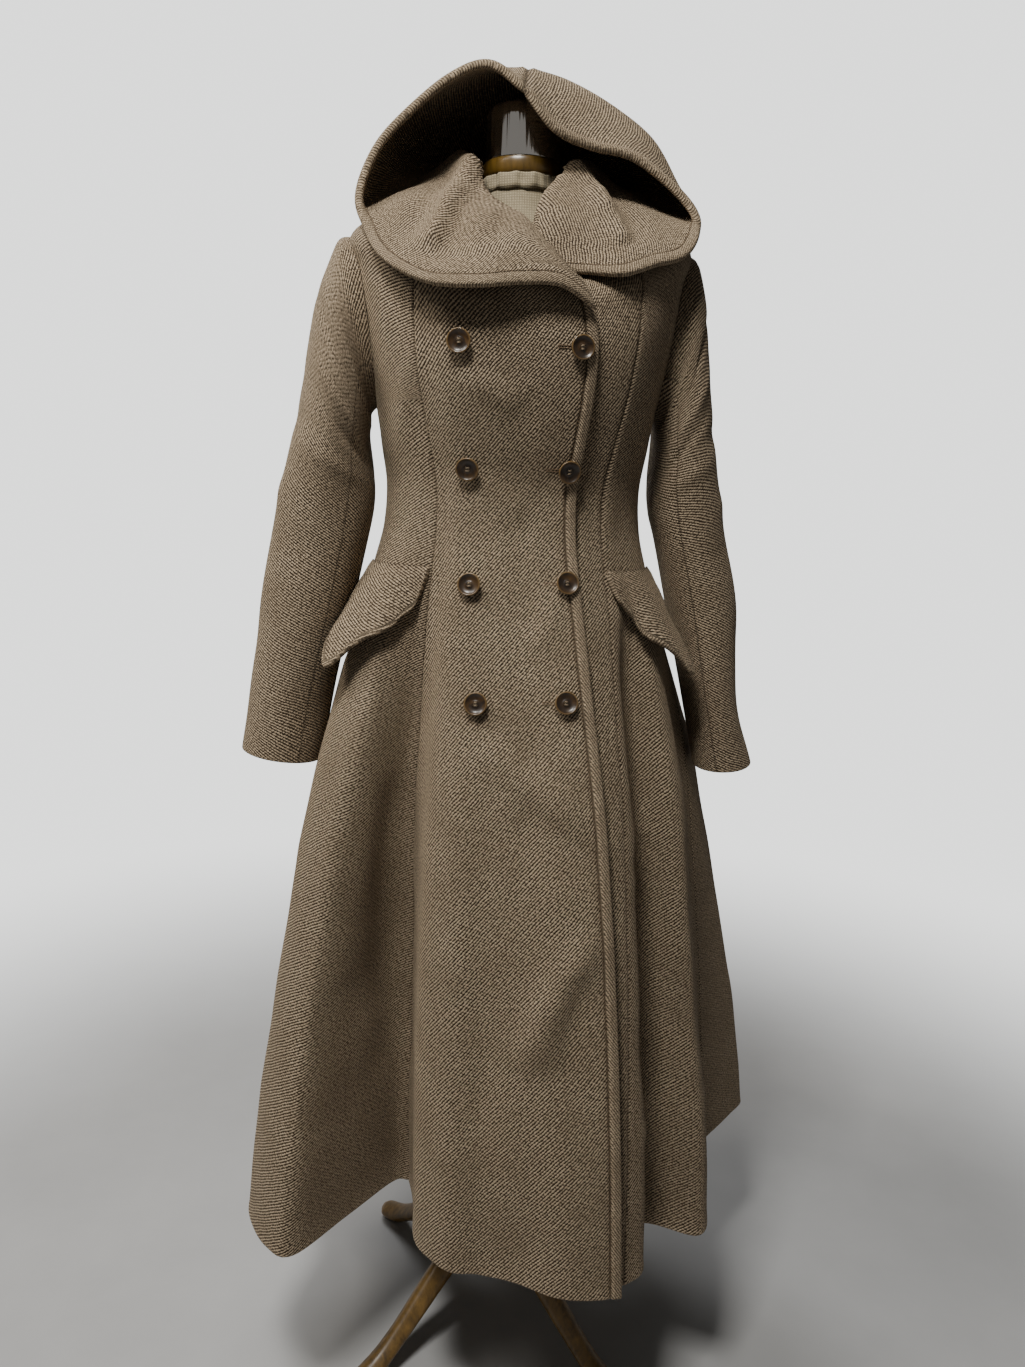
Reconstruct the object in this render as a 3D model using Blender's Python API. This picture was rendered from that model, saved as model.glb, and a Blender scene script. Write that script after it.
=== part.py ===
"""Long hooded coat on a limbless dress form.

Metres, +Z up, front of the coat towards -Y, wearer's left towards +X, floor at z = 0.
Every piece of cloth is a wall of constant thickness over a curved middle surface that is
worked out from a short table of sizes, with the next piece 0.3 mm away at each seam.
"""
import math

import bpy
import numpy as np
from mathutils import Vector
from mathutils.bvhtree import BVHTree

# Sizes that drive the coat
WALL = 0.0030
SEAM_GAP = 0.0005
LAP_GAP = 0.0016
EDGE_BAND = 0.013
EDGE_SWELL = 0.0022
EDGE_GROOVE = 0.0005
HOOD_WALL = 0.0050
HOOD_RIM_SWELL = 0.0015
SLEEVE_WALL = 0.0030
FLAP_WALL = 0.0040

PRINCESS_FRONT = 46.0
PRINCESS_BACK = 134.0
OVER_EDGE = ((0.0, 23.0), (2.0, 26.0), (4.0, 28.0), (8.0, 30.0), (17.0, 30.0))
UNDER_EDGE = -28.0
ARMHOLE_HALF_ANGLE = 17.5
ARMHOLE_TOP = 2.0
ARMHOLE_BOTTOM = 6.0

BUTTON_RADIUS = 0.0128
BUTTON_THICKNESS = 0.0042

# Plan position of the stand's pole in the finished frame
PLAN_X = -0.0230
PLAN_Y = -0.0016
PLAN = np.array([PLAN_X, PLAN_Y, 0.0])

# Cross-sections of the body from the neck seam down: heights at centre front, side and
# centre back, half width, depth to front and back, squareness, share of the hem folds
BODY_COLUMNS = ("z_front", "z_side", "z_back", "half", "front", "back", "square", "fold")
BODY_ROWS = (
    ("neck", 1.314, 1.440, 1.450, 0.078, 0.138, 0.064, 2.60, 0.00),
    ("slope", 1.304, 1.414, 1.430, 0.134, 0.139, 0.090, 2.20, 0.00),
    ("shoulder", 1.290, 1.379, 1.400, 0.191, 0.139, 0.106, 2.25, 0.00),
    ("upper_armhole", 1.274, 1.340, 1.350, 0.186, 0.140, 0.114, 2.40, 0.00),
    ("mid_armhole", 1.253, 1.290, 1.298, 0.178, 0.141, 0.118, 2.45, 0.00),
    ("low_armhole", 1.228, 1.238, 1.240, 0.169, 0.139, 0.116, 2.40, 0.00),
    ("underarm", 1.198, 1.198, 1.198, 0.162, 0.134, 0.111, 2.30, 0.00),
    ("underbust", 1.156, 1.156, 1.156, 0.1560, 0.123, 0.102, 2.20, 0.00),
    ("waist", 1.110, 1.110, 1.110, 0.1490, 0.111, 0.094, 2.15, 0.00),
    ("high_hip", 1.064, 1.064, 1.064, 0.1520, 0.111, 0.098, 2.10, 0.01),
    ("flap", 1.018, 1.018, 1.018, 0.1630, 0.118, 0.110, 2.10, 0.04),
    ("hip", 0.950, 0.950, 0.950, 0.1830, 0.134, 0.131, 2.10, 0.13),
    ("thigh", 0.865, 0.865, 0.865, 0.2050, 0.156, 0.158, 2.00, 0.27),
    ("knee_high", 0.760, 0.760, 0.760, 0.2280, 0.182, 0.186, 2.00, 0.44),
    ("knee_low", 0.635, 0.635, 0.635, 0.2480, 0.204, 0.208, 2.00, 0.60),
    ("calf_high", 0.505, 0.505, 0.505, 0.2640, 0.222, 0.227, 2.00, 0.74),
    ("calf_low", 0.370, 0.370, 0.370, 0.2770, 0.236, 0.242, 2.00, 0.88),
    ("hem", 0.240, 0.240, 0.240, 0.2860, 0.246, 0.254, 2.00, 1.00),
)
# Where each meridian of the cloth meets the hem, in plan: the crests and recesses of folds
SIDE_FOLDS_LEFT = (
    ("princess", 46.0, 0.128, -0.264),
    ("ridge", 50.0, 0.152, -0.244),
    ("recess", 55.0, 0.162, -0.172),
    ("crest_front", 63.0, 0.233, -0.190),
    ("crest_side", 69.0, 0.251, -0.155),
    ("hollow", 79.0, 0.247, -0.080),
    ("side", 90.0, 0.282, -0.014),
    ("swell", 98.0, 0.340, 0.048),
    ("crest_back", 103.0, 0.367, 0.080),
    ("turn", 111.0, 0.325, 0.122),
    ("recess_back", 121.0, 0.255, 0.142),
    ("princess_back", 134.0, 0.222, 0.208),
    ("crest_princess", 142.0, 0.196, 0.262),
    ("recess_centre", 155.0, 0.116, 0.208),
    ("crest_centre", 167.0, 0.070, 0.276),
    ("crest_centre_in", 174.0, 0.036, 0.288),
    ("centre_back", 180.0, 0.000, 0.252),
)
SIDE_FOLDS_RIGHT = (
    ("princess", 46.0, -0.110, -0.074),
    ("recess", 50.0, -0.130, -0.074),
    ("wall", 55.0, -0.184, -0.134),
    ("crest_front", 61.0, -0.242, -0.200),
    ("crest_side", 67.0, -0.272, -0.186),
    ("turn", 75.0, -0.303, -0.122),
    ("hollow", 83.0, -0.292, -0.060),
    ("side", 90.0, -0.276, -0.010),
    ("swell", 99.0, -0.286, 0.060),
    ("crest_back", 108.0, -0.312, 0.100),
    ("recess_back", 121.0, -0.252, 0.146),
    ("princess_back", 134.0, -0.224, 0.210),
    ("crest_princess", 143.0, -0.200, 0.262),
    ("recess_centre", 156.0, -0.114, 0.206),
    ("crest_centre", 167.0, -0.072, 0.270),
    ("crest_centre_in", 174.0, -0.036, 0.284),
    ("centre_back", 180.0, 0.000, 0.252),
)
OVER_FOLDS = (
    ("princess", -46.0, -0.110, -0.074),
    ("return", -41.0, -0.104, -0.128),
    ("fold_edge", -35.0, -0.099, -0.183),
    ("round", -28.0, -0.076, -0.219),
    ("panel", -12.0, -0.030, -0.236),
    ("mid", 2.0, 0.012, -0.252),
    ("lift", 15.0, 0.060, -0.277),
    ("near_edge", 24.0, 0.098, -0.280),
    ("free_edge", 30.0, 0.121, -0.276),
)
UNDER_FOLDS = (
    ("free_edge", -28.0, -0.064, -0.196),
    ("panel", -14.0, -0.026, -0.208),
    ("mid", 2.0, 0.018, -0.222),
    ("lift", 15.0, 0.060, -0.244),
    ("under_edge", 30.0, 0.106, -0.264),
    ("strip", 38.0, 0.118, -0.266),
    ("princess", 46.0, 0.128, -0.264),
)

# Angles of the columns of the two fronts, the same where one lies on the other
OVER_COLUMNS = (-46.0, -43.5, -41.0, -38.0, -35.0, -31.5, -28.0, -20.0, -10.0, 0.0, 8.0, 16.0, 30.0)
UNDER_COLUMNS = (-28.0, -20.0, -10.0, 0.0, 8.0, 16.0, 23.0, 30.0, 38.0, 46.0)

# The hood as strips that run from the neck seam over the roll line to the rim. Each row is
# a station round the neck: neck angle, then roll, trough, wall, crown and rim points
HOOD_RIGHT = (
    (
        "corner", 22.5,
        (0.047, -0.1425, 1.3230), (0.051, -0.1480, 1.3215), (0.056, -0.1510, 1.3190),
        (0.061, -0.1530, 1.3150), (0.066, -0.1530, 1.3090),
    ),
    (
        "lap", 12.0,
        (0.021, -0.1240, 1.3510), (0.021, -0.1380, 1.3450), (0.023, -0.1500, 1.3330),
        (0.026, -0.1580, 1.3210), (0.030, -0.1610, 1.3100),
    ),
    (
        "centre", -5.0,
        (-0.008, -0.1000, 1.3860), (-0.013, -0.1190, 1.3780), (-0.017, -0.1420, 1.3500),
        (-0.017, -0.1580, 1.3260), (-0.014, -0.1660, 1.3090),
    ),
    (
        "breast", -24.0,
        (-0.034, -0.0780, 1.4050), (-0.048, -0.1040, 1.3880), (-0.058, -0.1350, 1.3460),
        (-0.060, -0.1600, 1.3200), (-0.056, -0.1710, 1.3040),
    ),
    (
        "breast_side", -42.0,
        (-0.048, -0.0560, 1.4270), (-0.072, -0.0850, 1.3950), (-0.095, -0.1180, 1.3500),
        (-0.108, -0.1460, 1.3240), (-0.106, -0.1580, 1.3070),
    ),
    (
        "shoulder_front", -60.0,
        (-0.059, -0.0320, 1.4570), (-0.088, -0.0560, 1.4180), (-0.120, -0.0800, 1.3940),
        (-0.138, -0.1050, 1.3600), (-0.151, -0.1200, 1.3330),
    ),
    (
        "shoulder", -75.0,
        (-0.065, -0.0100, 1.4730), (-0.098, -0.0250, 1.4380), (-0.136, -0.0460, 1.4160),
        (-0.152, -0.0700, 1.3900), (-0.173, -0.0850, 1.3680),
    ),
    (
        "side", -90.0,
        (-0.072, 0.0080, 1.4800), (-0.110, 0.0080, 1.4500), (-0.154, 0.0000, 1.4260),
        (-0.179, -0.0280, 1.4120), (-0.180, -0.0620, 1.4120),
    ),
    (
        "behind_side", -110.0,
        (-0.078, 0.0400, 1.4740), (-0.116, 0.0520, 1.4640), (-0.146, 0.0380, 1.4700),
        (-0.165, -0.0050, 1.4680), (-0.162, -0.0560, 1.4590),
    ),
    (
        "quarter", -130.0,
        (-0.068, 0.0740, 1.4680), (-0.100, 0.0940, 1.4780), (-0.122, 0.0740, 1.5040),
        (-0.138, 0.0150, 1.5130), (-0.129, -0.0600, 1.4950),
    ),
    (
        "behind", -150.0,
        (-0.043, 0.0960, 1.4680), (-0.064, 0.1220, 1.4900), (-0.080, 0.0980, 1.5300),
        (-0.090, 0.0200, 1.5440), (-0.085, -0.0700, 1.5290),
    ),
    (
        "near_seam", -165.0,
        (-0.022, 0.1040, 1.4680), (-0.032, 0.1320, 1.4940), (-0.038, 0.1060, 1.5400),
        (-0.042, 0.0250, 1.5660), (-0.046, -0.0800, 1.5400),
    ),
    (
        "seam", -180.0,
        (0.000, 0.1080, 1.4680), (0.000, 0.1360, 1.4940), (0.000, 0.1090, 1.5430),
        (0.004, 0.0250, 1.5750), (-0.009, -0.0850, 1.5160),
    ),
)
HOOD_LEFT = (
    (
        "under_end", 8.0,
        (0.004, -0.0860, 1.3780), (0.012, -0.0960, 1.3700), (0.022, -0.1030, 1.3540),
        (0.029, -0.1070, 1.3420), (0.034, -0.1100, 1.3320),
    ),
    (
        "lap", 24.0,
        (0.014, -0.0770, 1.4100), (0.032, -0.0980, 1.3900), (0.046, -0.1100, 1.3560),
        (0.057, -0.1180, 1.3400), (0.063, -0.1240, 1.3300),
    ),
    (
        "breast", 40.0,
        (0.030, -0.0640, 1.4350), (0.056, -0.0900, 1.3990), (0.080, -0.1140, 1.3580),
        (0.088, -0.1240, 1.3470), (0.097, -0.1390, 1.3280),
    ),
    (
        "breast_side", 56.0,
        (0.046, -0.0450, 1.4520), (0.078, -0.0640, 1.4160), (0.110, -0.0930, 1.3740),
        (0.122, -0.1080, 1.3630), (0.133, -0.1240, 1.3420),
    ),
    (
        "shoulder_front", 70.0,
        (0.060, -0.0250, 1.4680), (0.092, -0.0380, 1.4340), (0.130, -0.0660, 1.4020),
        (0.150, -0.0850, 1.3800), (0.169, -0.1040, 1.3570),
    ),
    (
        "shoulder", 80.0,
        (0.067, -0.0060, 1.4760), (0.104, -0.0120, 1.4460), (0.146, -0.0420, 1.4160),
        (0.167, -0.0690, 1.3970), (0.186, -0.0880, 1.3850),
    ),
    (
        "side", 92.0,
        (0.074, 0.0120, 1.4790), (0.114, 0.0120, 1.4520), (0.160, -0.0060, 1.4280),
        (0.189, -0.0360, 1.4160), (0.177, -0.0780, 1.4110),
    ),
    (
        "behind_side", 110.0,
        (0.080, 0.0420, 1.4740), (0.118, 0.0520, 1.4640), (0.156, 0.0350, 1.4620),
        (0.177, -0.0100, 1.4520), (0.148, -0.0720, 1.4390),
    ),
    (
        "quarter", 130.0,
        (0.068, 0.0740, 1.4680), (0.103, 0.0930, 1.4780), (0.132, 0.0700, 1.4980),
        (0.148, 0.0080, 1.5060), (0.108, -0.0720, 1.4610),
    ),
    (
        "behind", 150.0,
        (0.044, 0.0960, 1.4680), (0.067, 0.1200, 1.4900), (0.090, 0.0920, 1.5260),
        (0.099, 0.0180, 1.5440), (0.062, -0.0760, 1.4670),
    ),
    (
        "near_seam", 165.0,
        (0.022, 0.1040, 1.4680), (0.034, 0.1310, 1.4940), (0.044, 0.1050, 1.5380),
        (0.050, 0.0240, 1.5670), (0.024, -0.0830, 1.4800),
    ),
    (
        "seam", 180.0,
        (0.000, 0.1080, 1.4680), (0.000, 0.1360, 1.4940), (0.000, 0.1090, 1.5430),
        (0.004, 0.0250, 1.5750), (-0.009, -0.0850, 1.5160),
    ),
)

# Sleeve rings after the armhole: outer point, inner point, middle in depth, half depth
SLEEVE_COLUMNS = ("outer_x", "outer_z", "inner_x", "inner_z", "middle_y", "half_depth")
SLEEVE_RIGHT = (
    ("cap_top", 0.2060, 1.3740, 0.1700, 1.1890, 0.000, 0.064),
    ("cap_fall", 0.2180, 1.3480, 0.1708, 1.1780, 0.000, 0.069),
    ("cap_side", 0.2300, 1.3100, 0.1708, 1.1640, 0.000, 0.071),
    ("upper", 0.2410, 1.2560, 0.1700, 1.1460, 0.001, 0.070),
    ("biceps", 0.2520, 1.1980, 0.1680, 1.1200, 0.002, 0.067),
    ("above_elbow", 0.2660, 1.1340, 0.1670, 1.0860, 0.003, 0.063),
    ("elbow", 0.2790, 1.0680, 0.1730, 1.0440, 0.004, 0.060),
    ("forearm", 0.2970, 0.9680, 0.1900, 0.9620, 0.004, 0.057),
    ("wrist", 0.3130, 0.8500, 0.2130, 0.8640, 0.000, 0.053),
    ("cuff", 0.3210, 0.7880, 0.2280, 0.7750, -0.006, 0.050),
)
SLEEVE_LEFT = (
    ("cap_top", 0.2045, 1.3690, 0.1700, 1.1890, 0.000, 0.064),
    ("cap_fall", 0.2120, 1.3420, 0.1708, 1.1780, 0.002, 0.070),
    ("cap_side", 0.2170, 1.3080, 0.1708, 1.1640, 0.003, 0.073),
    ("upper", 0.2250, 1.2560, 0.1700, 1.1460, 0.003, 0.073),
    ("biceps", 0.2340, 1.1980, 0.1680, 1.1200, 0.003, 0.071),
    ("above_elbow", 0.2430, 1.1340, 0.1690, 1.0860, 0.003, 0.068),
    ("elbow", 0.2540, 1.0720, 0.1780, 1.0480, 0.002, 0.064),
    ("forearm", 0.2780, 0.9740, 0.1970, 0.9680, -0.001, 0.060),
    ("wrist", 0.2850, 0.8580, 0.2220, 0.8640, -0.010, 0.054),
    ("cuff", 0.3070, 0.7800, 0.2400, 0.7710, -0.016, 0.048),
)

# Pocket flap: angle round the hip, depth of the free edge below the sewn edge, stand-off
FLAP_ROWS = (
    ("point", 47.0, 0.012, 0.0015),
    ("curve", 48.6, 0.031, 0.0030),
    ("belly", 51.5, 0.047, 0.0055),
    ("sweep", 56.0, 0.061, 0.0090),
    ("fall", 61.0, 0.082, 0.0150),
    ("long", 66.0, 0.105, 0.0235),
    ("tip", 70.5, 0.129, 0.0330),
    ("turn", 74.0, 0.112, 0.0300),
    ("back", 80.0, 0.070, 0.0150),
    ("heel", 87.0, 0.014, 0.0020),
)

# Dress form from the neck down
FORM_ROWS = (
    ("neck_top", 1.449, 1.449, 1.449, 0.0440, 0.0440, 0.0440, 2.0, 0.0),
    ("neck", 1.428, 1.434, 1.438, 0.0460, 0.0460, 0.0450, 2.0, 0.0),
    ("neck_base", 1.396, 1.424, 1.428, 0.0580, 0.0560, 0.0520, 2.0, 0.0),
    ("slope", 1.335, 1.4146, 1.419, 0.1150, 0.0880, 0.0760, 2.0, 0.0),
    ("shoulder", 1.300, 1.3885, 1.3895, 0.1700, 0.1100, 0.0920, 2.2, 0.0),
    ("arm_plate_top", 1.282, 1.335, 1.338, 0.1700, 0.1240, 0.1010, 2.4, 0.0),
    ("arm_plate", 1.256, 1.284, 1.290, 0.1600, 0.1290, 0.1060, 2.4, 0.0),
    ("chest", 1.226, 1.234, 1.236, 0.1560, 0.1280, 0.1050, 2.3, 0.0),
    ("underarm", 1.192, 1.192, 1.192, 0.1510, 0.1230, 0.1000, 2.2, 0.0),
    ("ribs", 1.150, 1.150, 1.150, 0.1410, 0.1080, 0.0900, 2.1, 0.0),
    ("waist", 1.104, 1.104, 1.104, 0.1330, 0.0970, 0.0830, 2.1, 0.0),
    ("high_hip", 1.058, 1.058, 1.058, 0.1370, 0.0980, 0.0890, 2.1, 0.0),
    ("hip", 1.000, 1.000, 1.000, 0.1480, 0.1060, 0.1010, 2.1, 0.0),
    ("seat", 0.935, 0.935, 0.935, 0.1560, 0.1100, 0.1100, 2.1, 0.0),
    ("base", 0.885, 0.885, 0.885, 0.1520, 0.1060, 0.1060, 2.1, 0.0),
    ("base_edge", 0.872, 0.872, 0.872, 0.1420, 0.0970, 0.0970, 2.1, 0.0),
)
RING_Z = (1.4494, 1.4662)
CAP_Z = (1.4666, 1.5250)
POLE_RADIUS = 0.0160
POLE_Z = (0.1464, 0.8716)
HUB_RADIUS = 0.0420
HUB_Z = (0.0900, 0.1460)
# Turned profiles as radius and height
RING_PROFILE = (
    (0.0440, RING_Z[0]),
    (0.0465, RING_Z[0] + 0.003),
    (0.0465, RING_Z[1] - 0.003),
    (0.0440, RING_Z[1]),
)
CAP_PROFILE = ((0.0435, CAP_Z[0]), (0.0435, 1.5150), (0.0415, 1.5215), (0.0340, CAP_Z[1]))
POLE_PROFILE = ((POLE_RADIUS, POLE_Z[0]), (POLE_RADIUS, POLE_Z[1]))
HUB_PROFILE = (
    (0.030, HUB_Z[0]),
    (HUB_RADIUS, HUB_Z[0] + 0.010),
    (HUB_RADIUS, HUB_Z[1] - 0.008),
    (0.026, HUB_Z[1]),
)
FOOT_AZIMUTHS = (("front_left", -50.0), ("front_right", 220.0), ("back_right", 129.0), ("back_left", 39.0))

BUTTONS = (
    ("button_right_1", -0.0713, 1.2546),
    ("button_left_1", 0.0531, 1.2530),
    ("button_right_2", -0.0579, 1.1285),
    ("button_left_2", 0.0478, 1.1289),
    ("button_right_3", -0.0536, 0.9996),
    ("button_left_3", 0.0498, 1.0031),
    ("button_right_4", -0.0461, 0.8729),
    ("button_left_4", 0.0494, 0.8765),
)


def numbers(rows):
    """The number columns of a table whose first column is a name."""
    return np.array([row[1:] for row in rows], float)


def spline(values, at):
    """Catmull-Rom through the rows of values, at fractional row numbers."""
    values = np.asarray(values, float)
    at = np.clip(np.asarray(at, float), 0.0, len(values) - 1.0)
    low = np.clip(np.floor(at).astype(int), 0, len(values) - 2)
    t = (at - low)[..., None]
    first = values[0] * 2.0 - values[1]
    last = values[-1] * 2.0 - values[-2]
    padded = np.vstack([first[None], values, last[None]])
    a, b, c, d = (padded[low + k] for k in range(4))
    return 0.5 * (2 * b + (c - a) * t + (2 * a - 5 * b + 4 * c - d) * t**2 + (3 * b - a - 3 * c + d) * t**3)


def along(keys, values, at):
    """A smooth curve through values given at uneven keys, without overshoot at crests."""
    keys = np.asarray(keys, float)
    values = np.asarray(values, float)
    at = np.clip(np.asarray(at, float), keys[0], keys[-1])
    step = np.diff(keys)[:, None]
    slope = np.diff(values, axis=0) / step
    inner = (slope[:-1] * step[1:] + slope[1:] * step[:-1]) / (step[1:] + step[:-1])
    tangent = np.vstack([slope[:1], inner, slope[-1:]])
    low = np.clip(np.searchsorted(keys, at, side="right") - 1, 0, len(keys) - 2)
    h = step[low]
    t = ((at - keys[low])[..., None]) / h
    return (
        (2 * t**3 - 3 * t**2 + 1) * values[low]
        + (t**3 - 2 * t**2 + t) * h * tangent[low]
        + (3 * t**2 - 2 * t**3) * values[low + 1]
        + (t**3 - t**2) * h * tangent[low + 1]
    )


def smooth(low, high, x):
    t = np.clip((np.asarray(x, float) - low) / (high - low), 0.0, 1.0)
    return t * t * (3 - 2 * t)


BODY = numbers(BODY_ROWS)
FORM = numbers(FORM_ROWS)
HEM = BODY[-1]


def section_radius(row, theta):
    """Distance from the pole at an angle, on a rounded section with two depths."""
    sine = np.abs(np.sin(theta))
    cosine = np.abs(np.cos(theta))
    depth = np.where(np.cos(theta) >= 0, row[..., 4], row[..., 5])
    power = row[..., 6]
    return ((sine / row[..., 3]) ** power + (cosine / depth) ** power) ** (-1.0 / power)


def section_height(row, theta):
    turn = np.degrees(np.abs(theta))
    front = row[..., 0] + (row[..., 1] - row[..., 0]) * smooth(12, 82, turn)
    return np.where(turn <= 90, front, row[..., 1] + (row[..., 2] - row[..., 1]) * smooth(90, 165, turn))


def section_point(table, v, theta):
    row = spline(table, v)
    r = section_radius(row, theta)
    z = section_height(row, theta)
    return np.stack([r * np.sin(theta), -r * np.cos(theta), z], -1), row[..., 7]


def hem_target(layer, degrees):
    """Plan point of the hem below a meridian, for one layer of the cloth."""
    degrees = (np.asarray(degrees, float) + 180.0) % 360.0 - 180.0
    left = numbers(SIDE_FOLDS_LEFT)
    right = numbers(SIDE_FOLDS_RIGHT)
    over = numbers(OVER_FOLDS)
    under = numbers(UNDER_FOLDS)
    on_left = along(left[:, 0], left[:, 1:], degrees)
    on_right = along(right[:, 0], right[:, 1:], -degrees)
    on_over = along(over[:, 0], over[:, 1:], degrees)
    on_under = along(under[:, 0], under[:, 1:], degrees)
    if layer == "side":
        on_front = np.where((degrees < 0)[..., None], on_over, on_under)
    else:
        on_front = on_over if layer == "over" else on_under
    on_front = np.where((degrees > PRINCESS_FRONT)[..., None], on_left, on_front)
    return np.where((degrees < -PRINCESS_FRONT)[..., None], on_right, on_front)


def body_middle(layer, v, degrees):
    theta = np.radians(degrees)
    point, fold = section_point(BODY, v, theta)
    r = section_radius(np.broadcast_to(HEM, theta.shape + HEM.shape), theta)
    mean = np.stack([r * np.sin(theta), -r * np.cos(theta)], -1)
    shift = (hem_target(layer, degrees) - mean) * fold[..., None]
    return point + np.concatenate([shift, np.zeros(shift.shape[:-1] + (1,))], -1)


def body_normal(layer, v, degrees):
    dv = 0.02
    dt = 0.15
    v_low = np.clip(v - dv, 0, len(BODY) - 1)
    v_high = np.clip(v + dv, 0, len(BODY) - 1)
    down = body_middle(layer, v_high, degrees) - body_middle(layer, v_low, degrees)
    round_ = body_middle(layer, v, degrees + dt) - body_middle(layer, v, degrees - dt)
    normal = np.cross(down, round_)
    return normal / np.linalg.norm(normal, axis=-1, keepdims=True)


def lift(degrees):
    """How far the over front is moved out, so that it lies on the under front."""
    return (WALL + LAP_GAP) * smooth(-44.0, UNDER_EDGE - 4.0, degrees)


def grid_faces(rows, cols, start, flip):
    faces = []
    for i in range(rows - 1):
        for j in range(cols - 1):
            a = start + i * cols + j
            for face in ((a, a + 1, a + cols + 1), (a, a + cols + 1, a + cols)):
                faces.append(face[::-1] if flip else face)
    return faces


def slab_mesh(outer, inner):
    """A closed wall between two grids of points of the same shape."""
    rows, cols = outer.shape[:2]
    count = rows * cols
    points = np.concatenate([outer.reshape(-1, 3), inner.reshape(-1, 3)])
    faces = grid_faces(rows, cols, 0, False) + grid_faces(rows, cols, count, True)
    border = [(0, j) for j in range(cols)]
    border += [(i, cols - 1) for i in range(1, rows)]
    border += [(rows - 1, j) for j in range(cols - 2, -1, -1)]
    border += [(i, 0) for i in range(rows - 2, 0, -1)]
    ring = [i * cols + j for i, j in border]
    for a, b in zip(ring, ring[1:] + ring[:1]):
        faces.append((b, a, a + count))
        faces.append((b, a + count, b + count))
    return points, faces


def tube_mesh(rings):
    """A solid through closed rings of points, capped flat at both ends."""
    rows, cols = rings.shape[:2]
    points = rings.reshape(-1, 3)
    faces = []
    for i in range(rows - 1):
        for j in range(cols):
            k = (j + 1) % cols
            faces.append((i * cols + j, i * cols + k, (i + 1) * cols + k, (i + 1) * cols + j))
    faces.append(tuple(range(cols))[::-1])
    faces.append(tuple((rows - 1) * cols + j for j in range(cols)))
    return points, faces


def signed_volume(points, faces):
    total = 0.0
    for face in faces:
        a = points[face[0]]
        for b, c in zip(face[1:-1], face[2:]):
            total += float(np.dot(a, np.cross(points[b], points[c])))
    return total / 6.0


def add_solid(name, points, faces, material):
    points = np.array(points, float) + PLAN
    if signed_volume(points, faces) < 0:
        faces = [tuple(face)[::-1] for face in faces]
    mesh = bpy.data.meshes.new(name)
    mesh.from_pydata([tuple(map(float, p)) for p in points], [], [tuple(map(int, f)) for f in faces])
    mesh.update()
    obj = bpy.data.objects.new(name, mesh)
    bpy.context.scene.collection.objects.link(obj)
    mesh.materials.append(material)
    return obj


def surface(name, colour, roughness, metallic=0.0):
    material = bpy.data.materials.new(name)
    material.use_nodes = True
    shader = material.node_tree.nodes["Principled BSDF"]
    shader.inputs["Base Color"].default_value = (*colour, 1.0)
    shader.inputs["Roughness"].default_value = roughness
    shader.inputs["Metallic"].default_value = metallic
    return material


def body_rows():
    """Row numbers of the body grid: finer through the armhole, at equal steps round it."""
    drop = ARMHOLE_BOTTOM - ARMHOLE_TOP
    steps = [ARMHOLE_TOP + drop * (1 - math.cos(math.radians(a))) / 2 for a in range(0, 181, 30)]
    return np.array([0.0, 1.0] + steps + [float(k) for k in range(7, len(BODY))])


def armhole_angle(v):
    share = (np.asarray(v, float) - ARMHOLE_TOP) / (ARMHOLE_BOTTOM - ARMHOLE_TOP)
    return ARMHOLE_HALF_ANGLE * np.sqrt(np.clip(1 - (2 * share - 1) ** 2, 0, None))


def shrink(grid, amount):
    """Moves the border of a grid of points inwards, to leave half a seam gap."""
    grid = grid.copy()
    for edge, near in ((0, 1), (-1, -2)):
        step = grid[:, near] - grid[:, edge]
        grid[:, edge] += step / np.linalg.norm(step, axis=-1, keepdims=True) * amount
    return grid


def body_panel(name, layer, starts, ends, columns, material, band=None):
    """One cloth panel of the body between two lines of angles, a value for each row."""
    v = body_rows()
    starts = np.broadcast_to(starts, v.shape)
    ends = np.broadcast_to(ends, v.shape)
    share = np.asarray(columns, float)
    degrees = starts[:, None] + (ends - starts)[:, None] * share[None, :]
    up = np.full(degrees.shape, WALL / 2)
    if band:
        degrees, up = banded(layer, v, degrees, up, band)
    rows = np.repeat(v[:, None], degrees.shape[1], axis=1)
    middle = body_middle(layer, rows, degrees)
    normal = body_normal(layer, rows, degrees)
    if layer == "over":
        middle = middle + normal * lift(degrees)[..., None]
    middle = shrink(middle, SEAM_GAP / 2)
    outer = middle + normal * up[..., None]
    inner = middle - normal * (WALL / 2)
    points, faces = slab_mesh(outer, inner)
    return add_solid(name, points, faces, material)


def banded(layer, v, degrees, up, side):
    """Adds columns close to a free edge, where the turned edge swells behind its stitching."""
    edge = degrees[:, -1] if side == "end" else degrees[:, 0]
    inward = -1.0 if side == "end" else 1.0
    tiny = edge + inward * 0.5
    near = body_middle(layer, v, edge)
    far = body_middle(layer, v, tiny)
    per_metre = 0.5 / np.linalg.norm(far - near, axis=-1)
    offsets = (EDGE_BAND, EDGE_BAND * 0.82, EDGE_BAND * 0.25)
    extra = np.stack([edge + inward * per_metre * d for d in offsets], -1)
    heights = np.array([WALL / 2 - EDGE_GROOVE, WALL / 2 + EDGE_SWELL, WALL / 2 + EDGE_SWELL])
    bands = np.broadcast_to(heights, extra.shape)
    last = WALL / 2 + EDGE_SWELL * 0.4
    if side == "end":
        keep = degrees[:, :-1]
        keep = np.minimum(keep, extra[:, :1] - 0.8)
        degrees = np.concatenate([keep, extra, degrees[:, -1:]], axis=1)
        up = np.concatenate([up[:, :-1], bands, np.full((len(v), 1), last)], axis=1)
    else:
        keep = np.maximum(degrees[:, 1:], extra[:, :1] + 0.8)
        degrees = np.concatenate([degrees[:, :1], extra[:, ::-1], keep], axis=1)
        up = np.concatenate([np.full((len(v), 1), last), bands[:, ::-1], up[:, 1:]], axis=1)
    return degrees, up


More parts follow.
